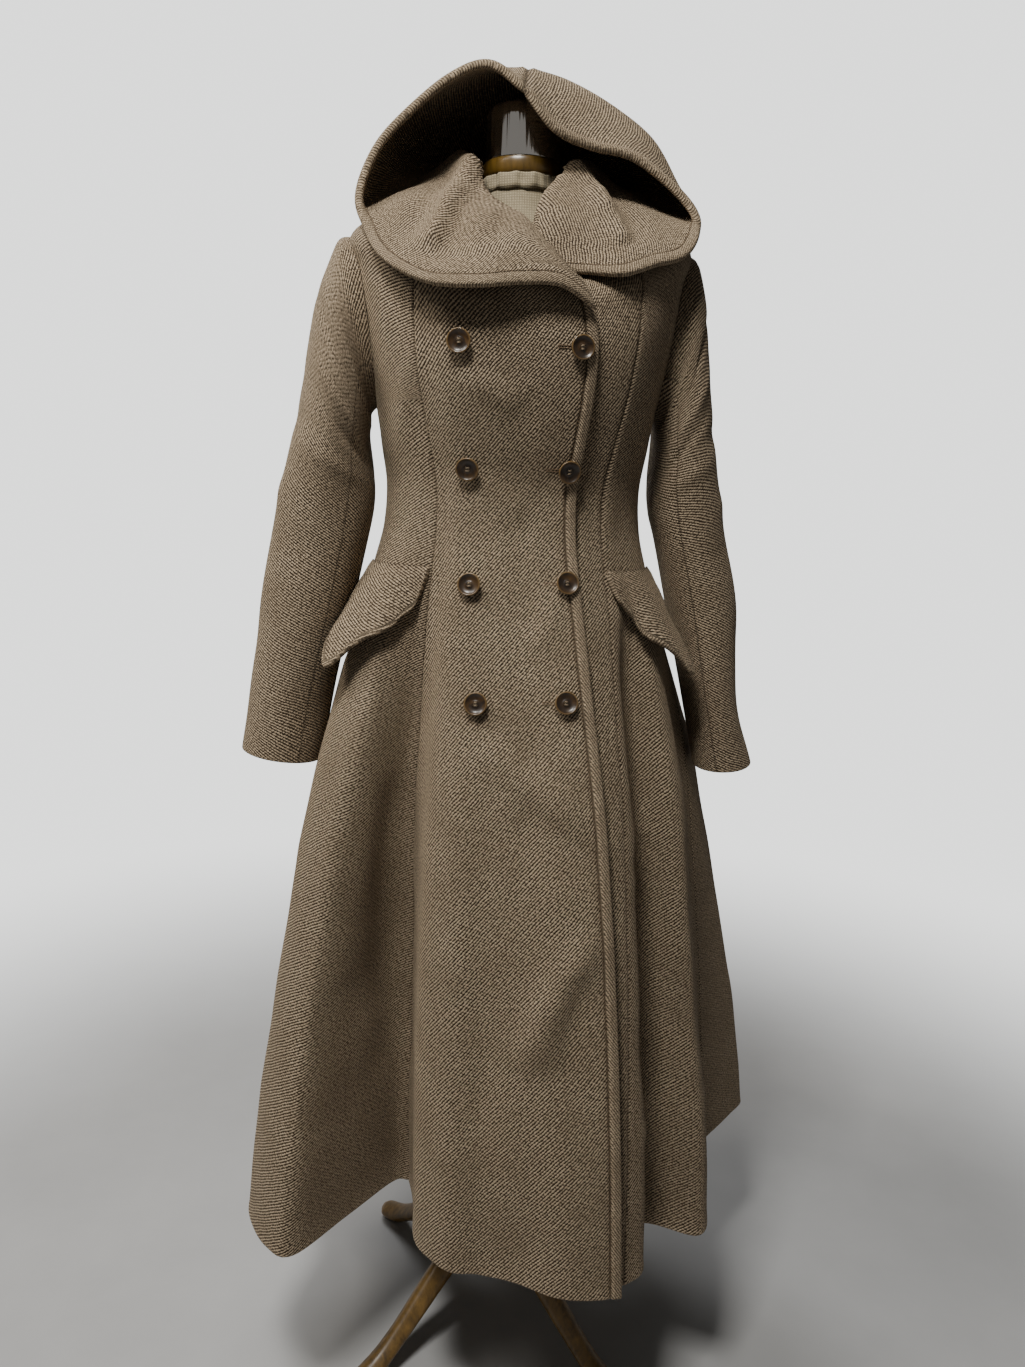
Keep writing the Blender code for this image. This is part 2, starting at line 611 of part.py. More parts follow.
def shares(table, start, end, between):
    """Column positions of a panel: at each crest and recess, and evenly between them."""
    keys = [start] + [key for key in table if start + 0.5 < key < end - 0.5] + [end]
    out = []
    for a, b in zip(keys, keys[1:]):
        out += [a + (b - a) * k / between for k in range(between)]
    out.append(end)
    return [(key - start) / (end - start) for key in out]


def portions(keys):
    """Column positions as shares of the way across a panel."""
    return [(key - keys[0]) / (keys[-1] - keys[0]) for key in keys]


def armhole_point(side, phi_degrees):
    """Point and normal on the armhole line: 0 at the shoulder, 90 in front, 180 below."""
    phi = np.radians(np.asarray(phi_degrees, float))
    v = ARMHOLE_TOP + (ARMHOLE_BOTTOM - ARMHOLE_TOP) * (1 - np.cos(phi)) / 2
    degrees = side * (90.0 - ARMHOLE_HALF_ANGLE * np.sin(phi))
    return body_middle("side", v, degrees), body_normal("side", v, degrees)


def sleeve_rings(side, rows, phi):
    """Middle surface of a whole sleeve, a ring to each row of the table, at angles phi."""
    at, normal = armhole_point(side, phi)
    clear = WALL / 2 * np.abs(normal[:, 0]) + 0.0006
    first = at + np.stack([side * clear, 0 * clear, 0 * clear], -1)
    rings = [first]
    radians = np.radians(phi)
    for outer_x, outer_z, inner_x, inner_z, middle_y, half_depth in numbers(rows):
        middle = np.array([side * (outer_x + inner_x) / 2, middle_y, (outer_z + inner_z) / 2])
        reach = np.array([side * (outer_x - inner_x) / 2, 0.0, (outer_z - inner_z) / 2])
        depth = np.array([0.0, -half_depth, 0.0])
        rings.append(middle + np.cos(radians)[:, None] * reach + np.sin(radians)[:, None] * depth)
    return np.array(rings)


def grid_normals(grid):
    down = np.gradient(grid, axis=0)
    round_ = np.gradient(grid, axis=1)
    normal = np.cross(down, round_)
    normal /= np.linalg.norm(normal, axis=-1, keepdims=True)
    return normal


def sleeve_panel(name, side, rows, start, end, steps, material):
    """One of the two pieces of a sleeve, between two angles round it."""
    phi = np.linspace(start, end, steps + 1)
    rings = sleeve_rings(side, rows, phi)
    down = np.gradient(rings, axis=0)
    round_ = sleeve_rings(side, rows, phi + 2.0) - sleeve_rings(side, rows, phi - 2.0)
    normal = np.cross(down, round_) * side
    normal[0, :, 0] = 0.0
    normal /= np.linalg.norm(normal, axis=-1, keepdims=True)
    rings = shrink(rings, SEAM_GAP / 2)
    points, faces = slab_mesh(rings + normal * SLEEVE_WALL / 2, rings - normal * SLEEVE_WALL / 2)
    return add_solid(name, points, faces, material)


def hood_grid(table, columns, layer):
    """Middle surface of half the hood: columns run round the neck, rows out to the rim."""
    at = np.linspace(0, len(table) - 1, columns)
    angles = np.array([row[1] for row in table])
    points = np.array([[np.array(p) for p in row[2:]] for row in table])
    neck = body_middle(layer, np.zeros(len(table)), angles)
    neck_normal = body_normal(layer, np.zeros(len(table)), angles)
    if layer == "over":
        neck = neck + neck_normal * lift(angles)[:, None]
    base = neck + np.array([0.0, 0.0 if layer == "over" else 0.0025, 0.0062])
    chain = np.concatenate([base[:, None], points], axis=1)
    wide = np.array([spline(chain[:, k], at) for k in range(chain.shape[1])])
    flat = wide.reshape(len(wide), -1)
    fine = spline(flat, np.linspace(len(wide) - 2, len(wide) - 1, 31)).reshape(31, columns, 3)
    run = np.cumsum(np.linalg.norm(np.diff(fine, axis=0), axis=-1), axis=0)
    length = np.concatenate([[np.zeros(columns)], run])
    grid = list(spline(flat, np.array(HOOD_ROWS)).reshape(len(HOOD_ROWS), columns, 3))
    for back in HOOD_RIM:
        want = length[-1] - np.minimum(back, length[-1] * 0.8 * back / HOOD_RIM[0])
        row = [[np.interp(want[j], length[:, j], fine[:, j, k]) for k in range(3)] for j in range(columns)]
        grid.append(row)
    return np.array(grid)


# Rows of the hood: by place along the strip, then by distance in from the rim
HOOD_ROWS = (0.0, 0.5, 0.8, 1.0, 1.2, 1.6, 2.0, 2.5, 3.0, 3.5, 4.0)
HOOD_RIM = (0.0125, 0.0100, 0.0025, 0.0)
HOOD_THICK = (0.8,) + (1.0,) * 10 + (0.90, 1.50, 1.50, 1.05)


def hood_half(table, columns, layer):
    grid = hood_grid(table, columns, layer)
    return grid, grid_normals(grid)


def hood_panels(material):
    """The two halves of the hood, with one shared direction along their centre seam."""
    right, right_normal = hood_half(HOOD_RIGHT, 19, "over")
    left, left_normal = hood_half(HOOD_LEFT, 17, "under")
    left_normal = -left_normal
    facing = np.sign((right_normal[:, -1] * left_normal[:, -1]).sum(-1, keepdims=True))
    seam = right_normal[:, -1] + facing * left_normal[:, -1]
    seam[:, 0] = 0.0
    seam /= np.linalg.norm(seam, axis=-1, keepdims=True)
    right_normal[:, -1] = seam
    left_normal[:, -1] = facing * seam
    for name, grid, normal in (("hood_right", right, right_normal), ("hood_left", left, left_normal)):
        thick = np.array(HOOD_THICK)[:, None, None] * HOOD_WALL / 2
        grid = shrink(grid, SEAM_GAP / 2)
        points, faces = slab_mesh(grid + normal * thick, grid - normal * thick)
        add_solid(name, points, faces, material)


# Angles of the columns of a flap, close together where its outline turns
FLAP_COLUMNS = (
    47.0, 47.8, 48.6, 50.0, 51.5, 53.5, 56.0, 58.5, 61.0, 63.5,
    66.0, 68.5, 70.5, 72.0, 74.0, 77.0, 80.0, 83.5, 87.0,
)


def flap_panel(name, side, material):
    """A pocket flap sewn along the hip, its free edge standing off the skirt."""
    table = numbers(FLAP_ROWS)
    degrees = np.array(FLAP_COLUMNS)
    depth, stand = along(table[:, 0], table[:, 1:], degrees).T
    heights = BODY[:, 1]
    grid = []
    for share in (0.0, 0.2, 0.45, 0.7, 0.9, 1.0):
        z = 1.0185 - depth * share
        v = np.interp(-z, -heights, np.arange(len(heights)))
        middle = body_middle("side", v, side * degrees)
        normal = body_normal("side", v, side * degrees)
        off = WALL / 2 + FLAP_WALL / 2 + 0.0005 + stand * share**1.3
        grid.append(middle + normal * off[:, None])
    grid = np.array(grid)
    normal = grid_normals(grid) * -side
    thick = np.full(grid.shape[:2], FLAP_WALL / 2)
    thick[-1] *= 0.8
    points, faces = slab_mesh(grid + normal * thick[..., None], grid - normal * thick[..., None])
    return add_solid(name, points, faces, material)


def front_of(x, z, layer="over"):
    """Point and outward normal of the over front at a given width and height."""
    degrees = -40.0 + np.arange(0, 701) * 0.1
    z_rows = BODY[:, 0]
    best = None
    for _ in range(2):
        v = np.full(degrees.shape, np.interp(-z, -z_rows, np.arange(len(z_rows))))
        for _ in range(4):
            points = body_middle(layer, v, degrees)
            v = v + (points[:, 2] - z) / 0.06
        k = int(np.argmin(np.abs(points[:, 0] - x)))
        best = (v[k : k + 1], degrees[k : k + 1])
    v, angle = best
    normal = body_normal(layer, v, angle)[0]
    point = body_middle(layer, v, angle)[0] + normal * float(lift(angle)[0])
    return point, normal


def lathe(profile, steps):
    """Rings of a turned shape from (radius, height) pairs, about +Z."""
    turn = np.arange(steps) / steps * 2 * math.pi
    rings = []
    for radius, height in profile:
        rings.append(np.stack([radius * np.cos(turn), radius * np.sin(turn), np.full(steps, height)], -1))
    return np.array(rings)


def place(points, at, normal):
    """Turns points made about +Z so that +Z follows the normal, and moves them to a place."""
    normal = normal / np.linalg.norm(normal)
    up = np.array([0.0, 0.0, 1.0])
    side = np.cross(up, normal)
    side /= np.linalg.norm(side)
    over = np.cross(normal, side)
    basis = np.stack([side, over, normal], 0)
    return points @ basis + at


BUTTON_PROFILE = (
    (0.0030, 0.0000),
    (0.0030, 0.0036),
    (0.0100, 0.0039),
    (0.0128, 0.0054),
    (0.0128, 0.0066),
    (0.0114, 0.0073),
    (0.0100, 0.0062),
    (0.0060, 0.0052),
)


def resting_height(cloth, at, normal, radius):
    """How far out the cloth's own facets reach under a small disc."""
    corners = [v.co for v in cloth.data.vertices]
    tree = BVHTree.FromPolygons(corners, [p.vertices for p in cloth.data.polygons])
    across = np.cross(normal, [0.0, 0.0, 1.0])
    across /= np.linalg.norm(across)
    over = np.cross(normal, across)
    best = 0.0
    for k in range(9):
        a = math.pi * k / 4
        offset = (math.cos(a) * across + math.sin(a) * over) * (radius if k else 0.0)
        start = at + offset + normal * 0.03 + PLAN
        hit = tree.ray_cast(Vector(start), Vector(-normal))
        if hit[0] is not None:
            best = max(best, 0.03 - hit[3])
    return best


def button(name, x, z, cloth, material):
    at, normal = front_of(x, z)
    rings = lathe(BUTTON_PROFILE, 12)
    points, faces = tube_mesh(rings)
    seat = at + normal * (resting_height(cloth, at, normal, BUTTON_PROFILE[0][0]) + 0.0004)
    return add_solid(name, place(points, seat, normal), faces, material)


def form_torso(name, material):
    v = np.arange(len(FORM), dtype=float)
    degrees = np.arange(0, 360, 15.0)
    signed = np.where(degrees > 180, degrees - 360, degrees)
    rings = []
    for row in v:
        points, _ = section_point(FORM, np.full(signed.shape, row), np.radians(signed))
        rings.append(points)
    points, faces = tube_mesh(np.array(rings))
    return add_solid(name, points, faces, material)


def turned(name, profile, steps, material):
    points, faces = tube_mesh(lathe(profile, steps))
    return add_solid(name, points, faces, material)


# Centre line of a leg out from the hub: reach, height of its middle, half height, half width
LEG_ROWS = (
    ("root", 0.0422, 0.1080, 0.0180, 0.0140),
    ("shoulder", 0.0650, 0.1060, 0.0185, 0.0150),
    ("knee", 0.0920, 0.0920, 0.0175, 0.0155),
    ("arch", 0.1230, 0.0690, 0.0155, 0.0150),
    ("shin", 0.1560, 0.0440, 0.0135, 0.0140),
    ("ankle", 0.1840, 0.0260, 0.0120, 0.0145),
    ("foot", 0.2060, 0.0140, 0.0140, 0.0165),
    ("toe", 0.2230, 0.0100, 0.0120, 0.0160),
    ("tip", 0.2320, 0.0080, 0.0080, 0.0100),
)


def leg(name, azimuth, material):
    """A wooden leg that sweeps down from the hub to a foot with a flat underside."""
    table = numbers(LEG_ROWS)
    table = spline(table, np.linspace(0, len(table) - 1, 13))
    direction = np.array([math.cos(math.radians(azimuth)), math.sin(math.radians(azimuth)), 0.0])
    across = np.array([-direction[1], direction[0], 0.0])
    reach = table[:, 0]
    height = table[:, 1]
    slope = np.gradient(height) / np.gradient(reach)
    slope[0] = 0.0
    rings = []
    for (out, high, half_high, half_wide), fall in zip(table, slope):
        tilt = math.atan(fall)
        up = -math.sin(tilt) * direction + math.cos(tilt) * np.array([0.0, 0.0, 1.0])
        ring = []
        for k in range(10):
            a = 2 * math.pi * k / 10
            point = out * direction + np.array([0.0, 0.0, high])
            point = point + math.cos(a) * half_wide * across + math.sin(a) * half_high * up
            point[2] = max(point[2], 0.0)
            ring.append(point)
        rings.append(ring)
    points, faces = tube_mesh(np.array(rings))
    return add_solid(name, points, faces, material)


def clear_scene():
    for obj in list(bpy.data.objects):
        bpy.data.objects.remove(obj, do_unlink=True)


def main():
    clear_scene()
    wool = surface("wool_twill", (0.20, 0.145, 0.10), 0.92)
    horn = surface("horn_button", (0.06, 0.030, 0.012), 0.28)
    linen = surface("linen_cover", (0.42, 0.38, 0.30), 0.9)
    wood = surface("stained_wood", (0.17, 0.11, 0.04), 0.5)
    steel = surface("polished_cap", (0.75, 0.72, 0.70), 0.12, 1.0)
    v = body_rows()
    arm = armhole_angle(v)
    left_keys = [row[1] for row in SIDE_FOLDS_LEFT]
    right_keys = [row[1] for row in SIDE_FOLDS_RIGHT]
    over_edge = np.interp(v, *np.array(OVER_EDGE).T)
    over = portions(OVER_COLUMNS)
    cloth = body_panel("front_right_centre", "over", -PRINCESS_FRONT, over_edge, over, wool, "end")
    body_panel("front_left_centre", "under", UNDER_EDGE, PRINCESS_FRONT, portions(UNDER_COLUMNS), wool)
    for side, word, keys in ((1, "left", left_keys), (-1, "right", right_keys)):
        front = shares(keys, PRINCESS_FRONT, 90.0, 1)
        back = shares(keys, 90.0, PRINCESS_BACK, 1)
        centre = shares(keys, PRINCESS_BACK, 180.0, 1)
        body_panel(f"front_{word}_side", "side", side * PRINCESS_FRONT, side * (90.0 - arm), front, wool)
        body_panel(f"back_{word}_side", "side", side * (90.0 + arm), side * PRINCESS_BACK, back, wool)
        body_panel(f"back_{word}_centre", "side", side * PRINCESS_BACK, side * 180.0, centre, wool)
        rows = SLEEVE_LEFT if side > 0 else SLEEVE_RIGHT
        sleeve_panel(f"sleeve_{word}_under", side, rows, 120.0, 240.0, 4, wool)
        sleeve_panel(f"sleeve_{word}_upper", side, rows, -120.0, 120.0, 8, wool)
        flap_panel(f"pocket_flap_{word}", side, wool)
    hood_panels(wool)
    for name, x, z in BUTTONS:
        button(name, x, z, cloth, horn)

    form_torso("form_torso", linen)
    turned("form_neck_ring", RING_PROFILE, 24, wood)
    turned("form_neck_cap", CAP_PROFILE, 24, steel)
    turned("stand_pole", POLE_PROFILE, 20, wood)
    turned("stand_hub", HUB_PROFILE, 20, wood)
    for word, azimuth in FOOT_AZIMUTHS:
        leg(f"stand_leg_{word}", azimuth, wood)


main()
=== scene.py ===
"""Looks of a long hooded wool coat on a limbless dress form.

Metres, +Z up. The front of the coat faces -Y and the wearer's left is +X. Each piece of cloth
is a thin wall over a surface worked out from the same short tables of sizes as its solid, at a
finer step, with the creases, edges and sewing that the solid leaves out.
"""

import logging
import math
from dataclasses import dataclass, field
from enum import Enum

import bpy
import numpy as np
from mathutils import Matrix, Vector

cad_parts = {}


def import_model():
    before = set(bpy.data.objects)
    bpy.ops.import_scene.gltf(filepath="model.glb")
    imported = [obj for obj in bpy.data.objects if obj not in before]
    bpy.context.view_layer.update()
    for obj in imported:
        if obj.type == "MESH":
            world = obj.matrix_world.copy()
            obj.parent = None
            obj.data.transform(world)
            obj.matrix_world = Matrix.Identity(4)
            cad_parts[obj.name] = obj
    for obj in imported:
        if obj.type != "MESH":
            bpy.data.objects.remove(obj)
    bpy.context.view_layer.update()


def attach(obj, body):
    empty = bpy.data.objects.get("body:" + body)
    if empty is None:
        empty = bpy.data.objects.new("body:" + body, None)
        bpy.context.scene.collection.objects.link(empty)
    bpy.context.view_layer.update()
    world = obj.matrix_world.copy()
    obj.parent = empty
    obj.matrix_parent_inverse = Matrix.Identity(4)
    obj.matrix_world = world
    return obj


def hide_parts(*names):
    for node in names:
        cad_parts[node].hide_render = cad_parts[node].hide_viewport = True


LOG = logging.getLogger("coat")

# Plan place of the stand's pole
POLE_AT = np.array([-0.0230, -0.0016, 0.0])

# Sizes of the cloth
WALL = 0.0030
LAP_GAP = 0.0016
SEAM_TUCK = 0.0004
EDGE_BAND = 0.013
HOOD_WALL = 0.0050
FLAP_WALL = 0.0040
FLAP_BAND = 0.007

PRINCESS_FRONT = 46.0
PRINCESS_BACK = 134.0
OVER_EDGE = ((0.0, 23.0), (2.0, 26.0), (4.0, 28.0), (8.0, 30.0), (17.0, 30.0))
UNDER_EDGE = -28.0
ARMHOLE_HALF_ANGLE = 17.5
ARMHOLE_TOP = 2.0
ARMHOLE_BOTTOM = 6.0

# z_front, z_side, z_back, half width, depth to front and back, squareness, share of the folds
BODY_ROWS = (
    ("neck", 1.314, 1.44, 1.45, 0.078, 0.138, 0.064, 2.6, 0.0),
    ("slope", 1.304, 1.414, 1.43, 0.134, 0.139, 0.09, 2.2, 0.0),
    ("shoulder", 1.29, 1.379, 1.4, 0.191, 0.139, 0.106, 2.25, 0.0),
    ("upper_armhole", 1.274, 1.34, 1.35, 0.186, 0.14, 0.114, 2.4, 0.0),
    ("mid_armhole", 1.253, 1.29, 1.298, 0.178, 0.141, 0.118, 2.45, 0.0),
    ("low_armhole", 1.228, 1.238, 1.24, 0.169, 0.139, 0.116, 2.4, 0.0),
    ("underarm", 1.198, 1.198, 1.198, 0.162, 0.134, 0.111, 2.3, 0.0),
    ("underbust", 1.156, 1.156, 1.156, 0.156, 0.123, 0.102, 2.2, 0.0),
    ("waist", 1.11, 1.11, 1.11, 0.149, 0.111, 0.094, 2.15, 0.0),
    ("high_hip", 1.064, 1.064, 1.064, 0.152, 0.111, 0.098, 2.1, 0.01),
    ("flap", 1.018, 1.018, 1.018, 0.163, 0.118, 0.11, 2.1, 0.04),
    ("hip", 0.95, 0.95, 0.95, 0.183, 0.134, 0.131, 2.1, 0.13),
    ("thigh", 0.865, 0.865, 0.865, 0.205, 0.156, 0.158, 2.0, 0.27),
    ("knee_high", 0.76, 0.76, 0.76, 0.228, 0.182, 0.186, 2.0, 0.44),
    ("knee_low", 0.635, 0.635, 0.635, 0.248, 0.204, 0.208, 2.0, 0.6),
    ("calf_high", 0.505, 0.505, 0.505, 0.264, 0.222, 0.227, 2.0, 0.74),
    ("calf_low", 0.37, 0.37, 0.37, 0.277, 0.236, 0.242, 2.0, 0.88),
    ("hem", 0.24, 0.24, 0.24, 0.286, 0.246, 0.254, 2.0, 1.0),
)
# Where each meridian of the cloth meets the hem, in plan: angle, x, y
SIDE_FOLDS_LEFT = (
    ("princess", 46.0, 0.128, -0.264),
    ("ridge", 50.0, 0.152, -0.244),
    ("recess", 55.0, 0.162, -0.172),
    ("crest_front", 63.0, 0.233, -0.19),
    ("crest_side", 69.0, 0.251, -0.155),
    ("hollow", 79.0, 0.247, -0.08),
    ("side", 90.0, 0.282, -0.014),
    ("swell", 98.0, 0.34, 0.048),
    ("crest_back", 103.0, 0.367, 0.08),
    ("turn", 111.0, 0.325, 0.122),
    ("recess_back", 121.0, 0.255, 0.142),
    ("princess_back", 134.0, 0.222, 0.208),
    ("crest_princess", 142.0, 0.196, 0.262),
    ("recess_centre", 155.0, 0.116, 0.208),
    ("crest_centre", 167.0, 0.07, 0.276),
    ("crest_centre_in", 174.0, 0.036, 0.288),
    ("centre_back", 180.0, 0.0, 0.252),
)
SIDE_FOLDS_RIGHT = (
    ("princess", 46.0, -0.11, -0.074),
    ("recess", 50.0, -0.13, -0.074),
    ("wall", 55.0, -0.184, -0.134),
    ("crest_front", 61.0, -0.242, -0.2),
    ("crest_side", 67.0, -0.272, -0.186),
    ("turn", 75.0, -0.303, -0.122),
    ("hollow", 83.0, -0.292, -0.06),
    ("side", 90.0, -0.276, -0.01),
    ("swell", 99.0, -0.286, 0.06),
    ("crest_back", 108.0, -0.312, 0.1),
    ("recess_back", 121.0, -0.252, 0.146),
    ("princess_back", 134.0, -0.224, 0.21),
    ("crest_princess", 143.0, -0.2, 0.262),
    ("recess_centre", 156.0, -0.114, 0.206),
    ("crest_centre", 167.0, -0.072, 0.27),
    ("crest_centre_in", 174.0, -0.036, 0.284),
    ("centre_back", 180.0, 0.0, 0.252),
)
OVER_FOLDS = (
    ("princess", -46.0, -0.11, -0.074),
    ("return", -41.0, -0.104, -0.128),
    ("fold_edge", -35.0, -0.099, -0.183),
    ("round", -28.0, -0.076, -0.219),
    ("panel", -12.0, -0.03, -0.236),
    ("mid", 2.0, 0.012, -0.252),
    ("lift", 15.0, 0.06, -0.277),
    ("near_edge", 24.0, 0.098, -0.28),
    ("free_edge", 30.0, 0.121, -0.276),
)
UNDER_FOLDS = (
    ("free_edge", -28.0, -0.064, -0.196),
    ("panel", -14.0, -0.026, -0.208),
    ("mid", 2.0, 0.018, -0.222),
    ("lift", 15.0, 0.06, -0.244),
    ("under_edge", 30.0, 0.106, -0.264),
    ("strip", 38.0, 0.118, -0.266),
    ("princess", 46.0, 0.128, -0.264),
)

# Hood strips from the neck seam over the roll to the rim, a row to each station round the
# neck: neck angle, then the roll, trough, wall, crown and rim points
HOOD_RIGHT = (
    (
        "corner", 22.5, (0.047, -0.143, 1.321), (0.051, -0.148, 1.317), (0.056, -0.151, 1.311),
        (0.061, -0.153, 1.302), (0.066, -0.1525, 1.29)
    ),
    (
        "lap", 12.0, (0.021, -0.124, 1.351), (0.021, -0.138, 1.345), (0.023, -0.15, 1.333),
        (0.026, -0.158, 1.321), (0.03, -0.161, 1.309)
    ),
    (
        "centre", -5.0, (-0.008, -0.1, 1.386), (-0.013, -0.119, 1.378), (-0.017, -0.142, 1.35),
        (-0.017, -0.158, 1.326), (-0.014, -0.166, 1.309)
    ),
    (
        "breast", -24.0, (-0.034, -0.078, 1.405), (-0.048, -0.104, 1.388), (-0.058, -0.135, 1.346),
        (-0.06, -0.16, 1.32), (-0.056, -0.171, 1.304)
    ),
    (
        "breast_side", -42.0, (-0.048, -0.056, 1.427), (-0.072, -0.085, 1.395), (-0.095, -0.118, 1.35),
        (-0.108, -0.146, 1.324), (-0.106, -0.158, 1.307)
    ),
    (
        "shoulder_front", -60.0, (-0.059, -0.032, 1.457), (-0.088, -0.056, 1.418), (-0.12, -0.08, 1.394),
        (-0.138, -0.105, 1.36), (-0.151, -0.12, 1.333)
    ),
    (
        "shoulder", -75.0, (-0.065, -0.01, 1.473), (-0.098, -0.025, 1.438), (-0.136, -0.046, 1.416),
        (-0.152, -0.07, 1.39), (-0.173, -0.085, 1.368)
    ),
    (
        "side", -90.0, (-0.072, 0.008, 1.48), (-0.11, 0.008, 1.45), (-0.154, 0.0, 1.426),
        (-0.179, -0.028, 1.412), (-0.18, -0.062, 1.412)
    ),
    (
        "behind_side", -110.0, (-0.078, 0.04, 1.474), (-0.116, 0.052, 1.464), (-0.146, 0.038, 1.47),
        (-0.165, -0.005, 1.468), (-0.162, -0.056, 1.459)
    ),
    (
        "quarter", -130.0, (-0.068, 0.074, 1.468), (-0.1, 0.094, 1.478), (-0.122, 0.074, 1.504),
        (-0.138, 0.015, 1.513), (-0.129, -0.06, 1.495)
    ),
    (
        "behind", -150.0, (-0.043, 0.096, 1.468), (-0.064, 0.122, 1.49), (-0.08, 0.098, 1.53),
        (-0.09, 0.02, 1.544), (-0.085, -0.07, 1.529)
    ),
    (
        "near_seam", -165.0, (-0.022, 0.104, 1.468), (-0.032, 0.132, 1.494), (-0.038, 0.106, 1.54),
        (-0.042, 0.025, 1.566), (-0.046, -0.08, 1.54)
    ),
    (
        "seam", -180.0, (0.0, 0.108, 1.468), (0.0, 0.136, 1.494), (0.0, 0.109, 1.543), (0.004, 0.025, 1.575),
        (-0.009, -0.085, 1.516)
    ),
)
HOOD_LEFT = (
    (
        "under_end", 8.0, (0.004, -0.086, 1.378), (0.012, -0.096, 1.37), (0.022, -0.103, 1.354),
        (0.029, -0.107, 1.342), (0.034, -0.11, 1.332)
    ),
    (
        "lap", 24.0, (0.014, -0.077, 1.41), (0.032, -0.098, 1.39), (0.046, -0.11, 1.356),
        (0.057, -0.118, 1.34), (0.063, -0.124, 1.33)
    ),
    (
        "breast", 40.0, (0.03, -0.064, 1.435), (0.056, -0.09, 1.399), (0.08, -0.114, 1.358),
        (0.088, -0.124, 1.347), (0.097, -0.139, 1.328)
    ),
    (
        "breast_side", 56.0, (0.046, -0.045, 1.452), (0.078, -0.064, 1.416), (0.11, -0.093, 1.374),
        (0.122, -0.108, 1.363), (0.133, -0.124, 1.342)
    ),
    (
        "shoulder_front", 70.0, (0.06, -0.025, 1.468), (0.092, -0.038, 1.434), (0.13, -0.066, 1.402),
        (0.15, -0.085, 1.38), (0.169, -0.104, 1.357)
    ),
    (
        "shoulder", 80.0, (0.067, -0.006, 1.476), (0.104, -0.012, 1.446), (0.146, -0.042, 1.416),
        (0.167, -0.069, 1.397), (0.186, -0.088, 1.385)
    ),
    (
        "side", 92.0, (0.074, 0.012, 1.479), (0.114, 0.012, 1.452), (0.16, -0.006, 1.428),
        (0.189, -0.036, 1.416), (0.177, -0.078, 1.411)
    ),
    (
        "behind_side", 110.0, (0.08, 0.042, 1.474), (0.118, 0.052, 1.464), (0.156, 0.035, 1.462),
        (0.177, -0.01, 1.452), (0.148, -0.072, 1.439)
    ),
    (
        "quarter", 130.0, (0.068, 0.074, 1.468), (0.103, 0.093, 1.478), (0.132, 0.07, 1.498),
        (0.148, 0.008, 1.506), (0.108, -0.072, 1.461)
    ),
    (
        "behind", 150.0, (0.044, 0.096, 1.468), (0.067, 0.12, 1.49), (0.09, 0.092, 1.526),
        (0.099, 0.018, 1.544), (0.062, -0.076, 1.467)
    ),
    (
        "near_seam", 165.0, (0.022, 0.104, 1.468), (0.034, 0.131, 1.494), (0.044, 0.105, 1.538),
        (0.05, 0.024, 1.567), (0.024, -0.083, 1.48)
    ),
    (
        "seam", 180.0, (0.0, 0.108, 1.468), (0.0, 0.136, 1.494), (0.0, 0.109, 1.543), (0.004, 0.025, 1.575),
        (-0.009, -0.085, 1.516)
    ),
)

# Sleeve rings after the armhole: outer x and z, inner x and z, middle in depth, half depth
SLEEVE_RIGHT = (
    ("cap_top", 0.206, 1.374, 0.17, 1.189, 0.0, 0.064),
    ("cap_fall", 0.218, 1.348, 0.1708, 1.178, 0.0, 0.069),
    ("cap_side", 0.23, 1.31, 0.1708, 1.164, 0.0, 0.071),
    ("upper", 0.241, 1.256, 0.17, 1.146, 0.001, 0.07),
    ("biceps", 0.252, 1.198, 0.168, 1.12, 0.002, 0.067),
    ("above_elbow", 0.266, 1.134, 0.167, 1.086, 0.003, 0.063),
    ("elbow", 0.279, 1.068, 0.173, 1.044, 0.004, 0.06),
    ("forearm", 0.297, 0.968, 0.19, 0.962, 0.004, 0.057),
    ("wrist", 0.313, 0.85, 0.213, 0.864, 0.0, 0.053),
    ("cuff", 0.321, 0.788, 0.228, 0.775, -0.006, 0.05),
)
SLEEVE_LEFT = (
    ("cap_top", 0.2045, 1.369, 0.17, 1.189, 0.0, 0.064),
    ("cap_fall", 0.212, 1.342, 0.1708, 1.178, 0.002, 0.07),
    ("cap_side", 0.217, 1.308, 0.1708, 1.164, 0.003, 0.073),
    ("upper", 0.225, 1.256, 0.17, 1.146, 0.003, 0.073),
    ("biceps", 0.234, 1.198, 0.168, 1.12, 0.003, 0.071),
    ("above_elbow", 0.243, 1.134, 0.169, 1.086, 0.003, 0.068),
    ("elbow", 0.254, 1.072, 0.178, 1.048, 0.002, 0.064),
    ("forearm", 0.278, 0.974, 0.197, 0.968, -0.001, 0.06),
    ("wrist", 0.285, 0.858, 0.222, 0.864, -0.01, 0.054),
    ("cuff", 0.307, 0.78, 0.24, 0.771, -0.016, 0.048),
)

# Pocket flap: angle round the hip, depth of the free edge below the sewn edge, stand-off
FLAP_ROWS = (
    ("point", 47.0, 0.012, 0.0015),
    ("curve", 48.6, 0.031, 0.003),
    ("belly", 51.5, 0.047, 0.0055),
    ("sweep", 56.0, 0.061, 0.009),
    ("fall", 61.0, 0.082, 0.015),
    ("long", 66.0, 0.105, 0.0235),
    ("tip", 70.5, 0.129, 0.033),
    ("turn", 74.0, 0.112, 0.03),
    ("back", 80.0, 0.07, 0.015),
    ("heel", 87.0, 0.014, 0.002),
)

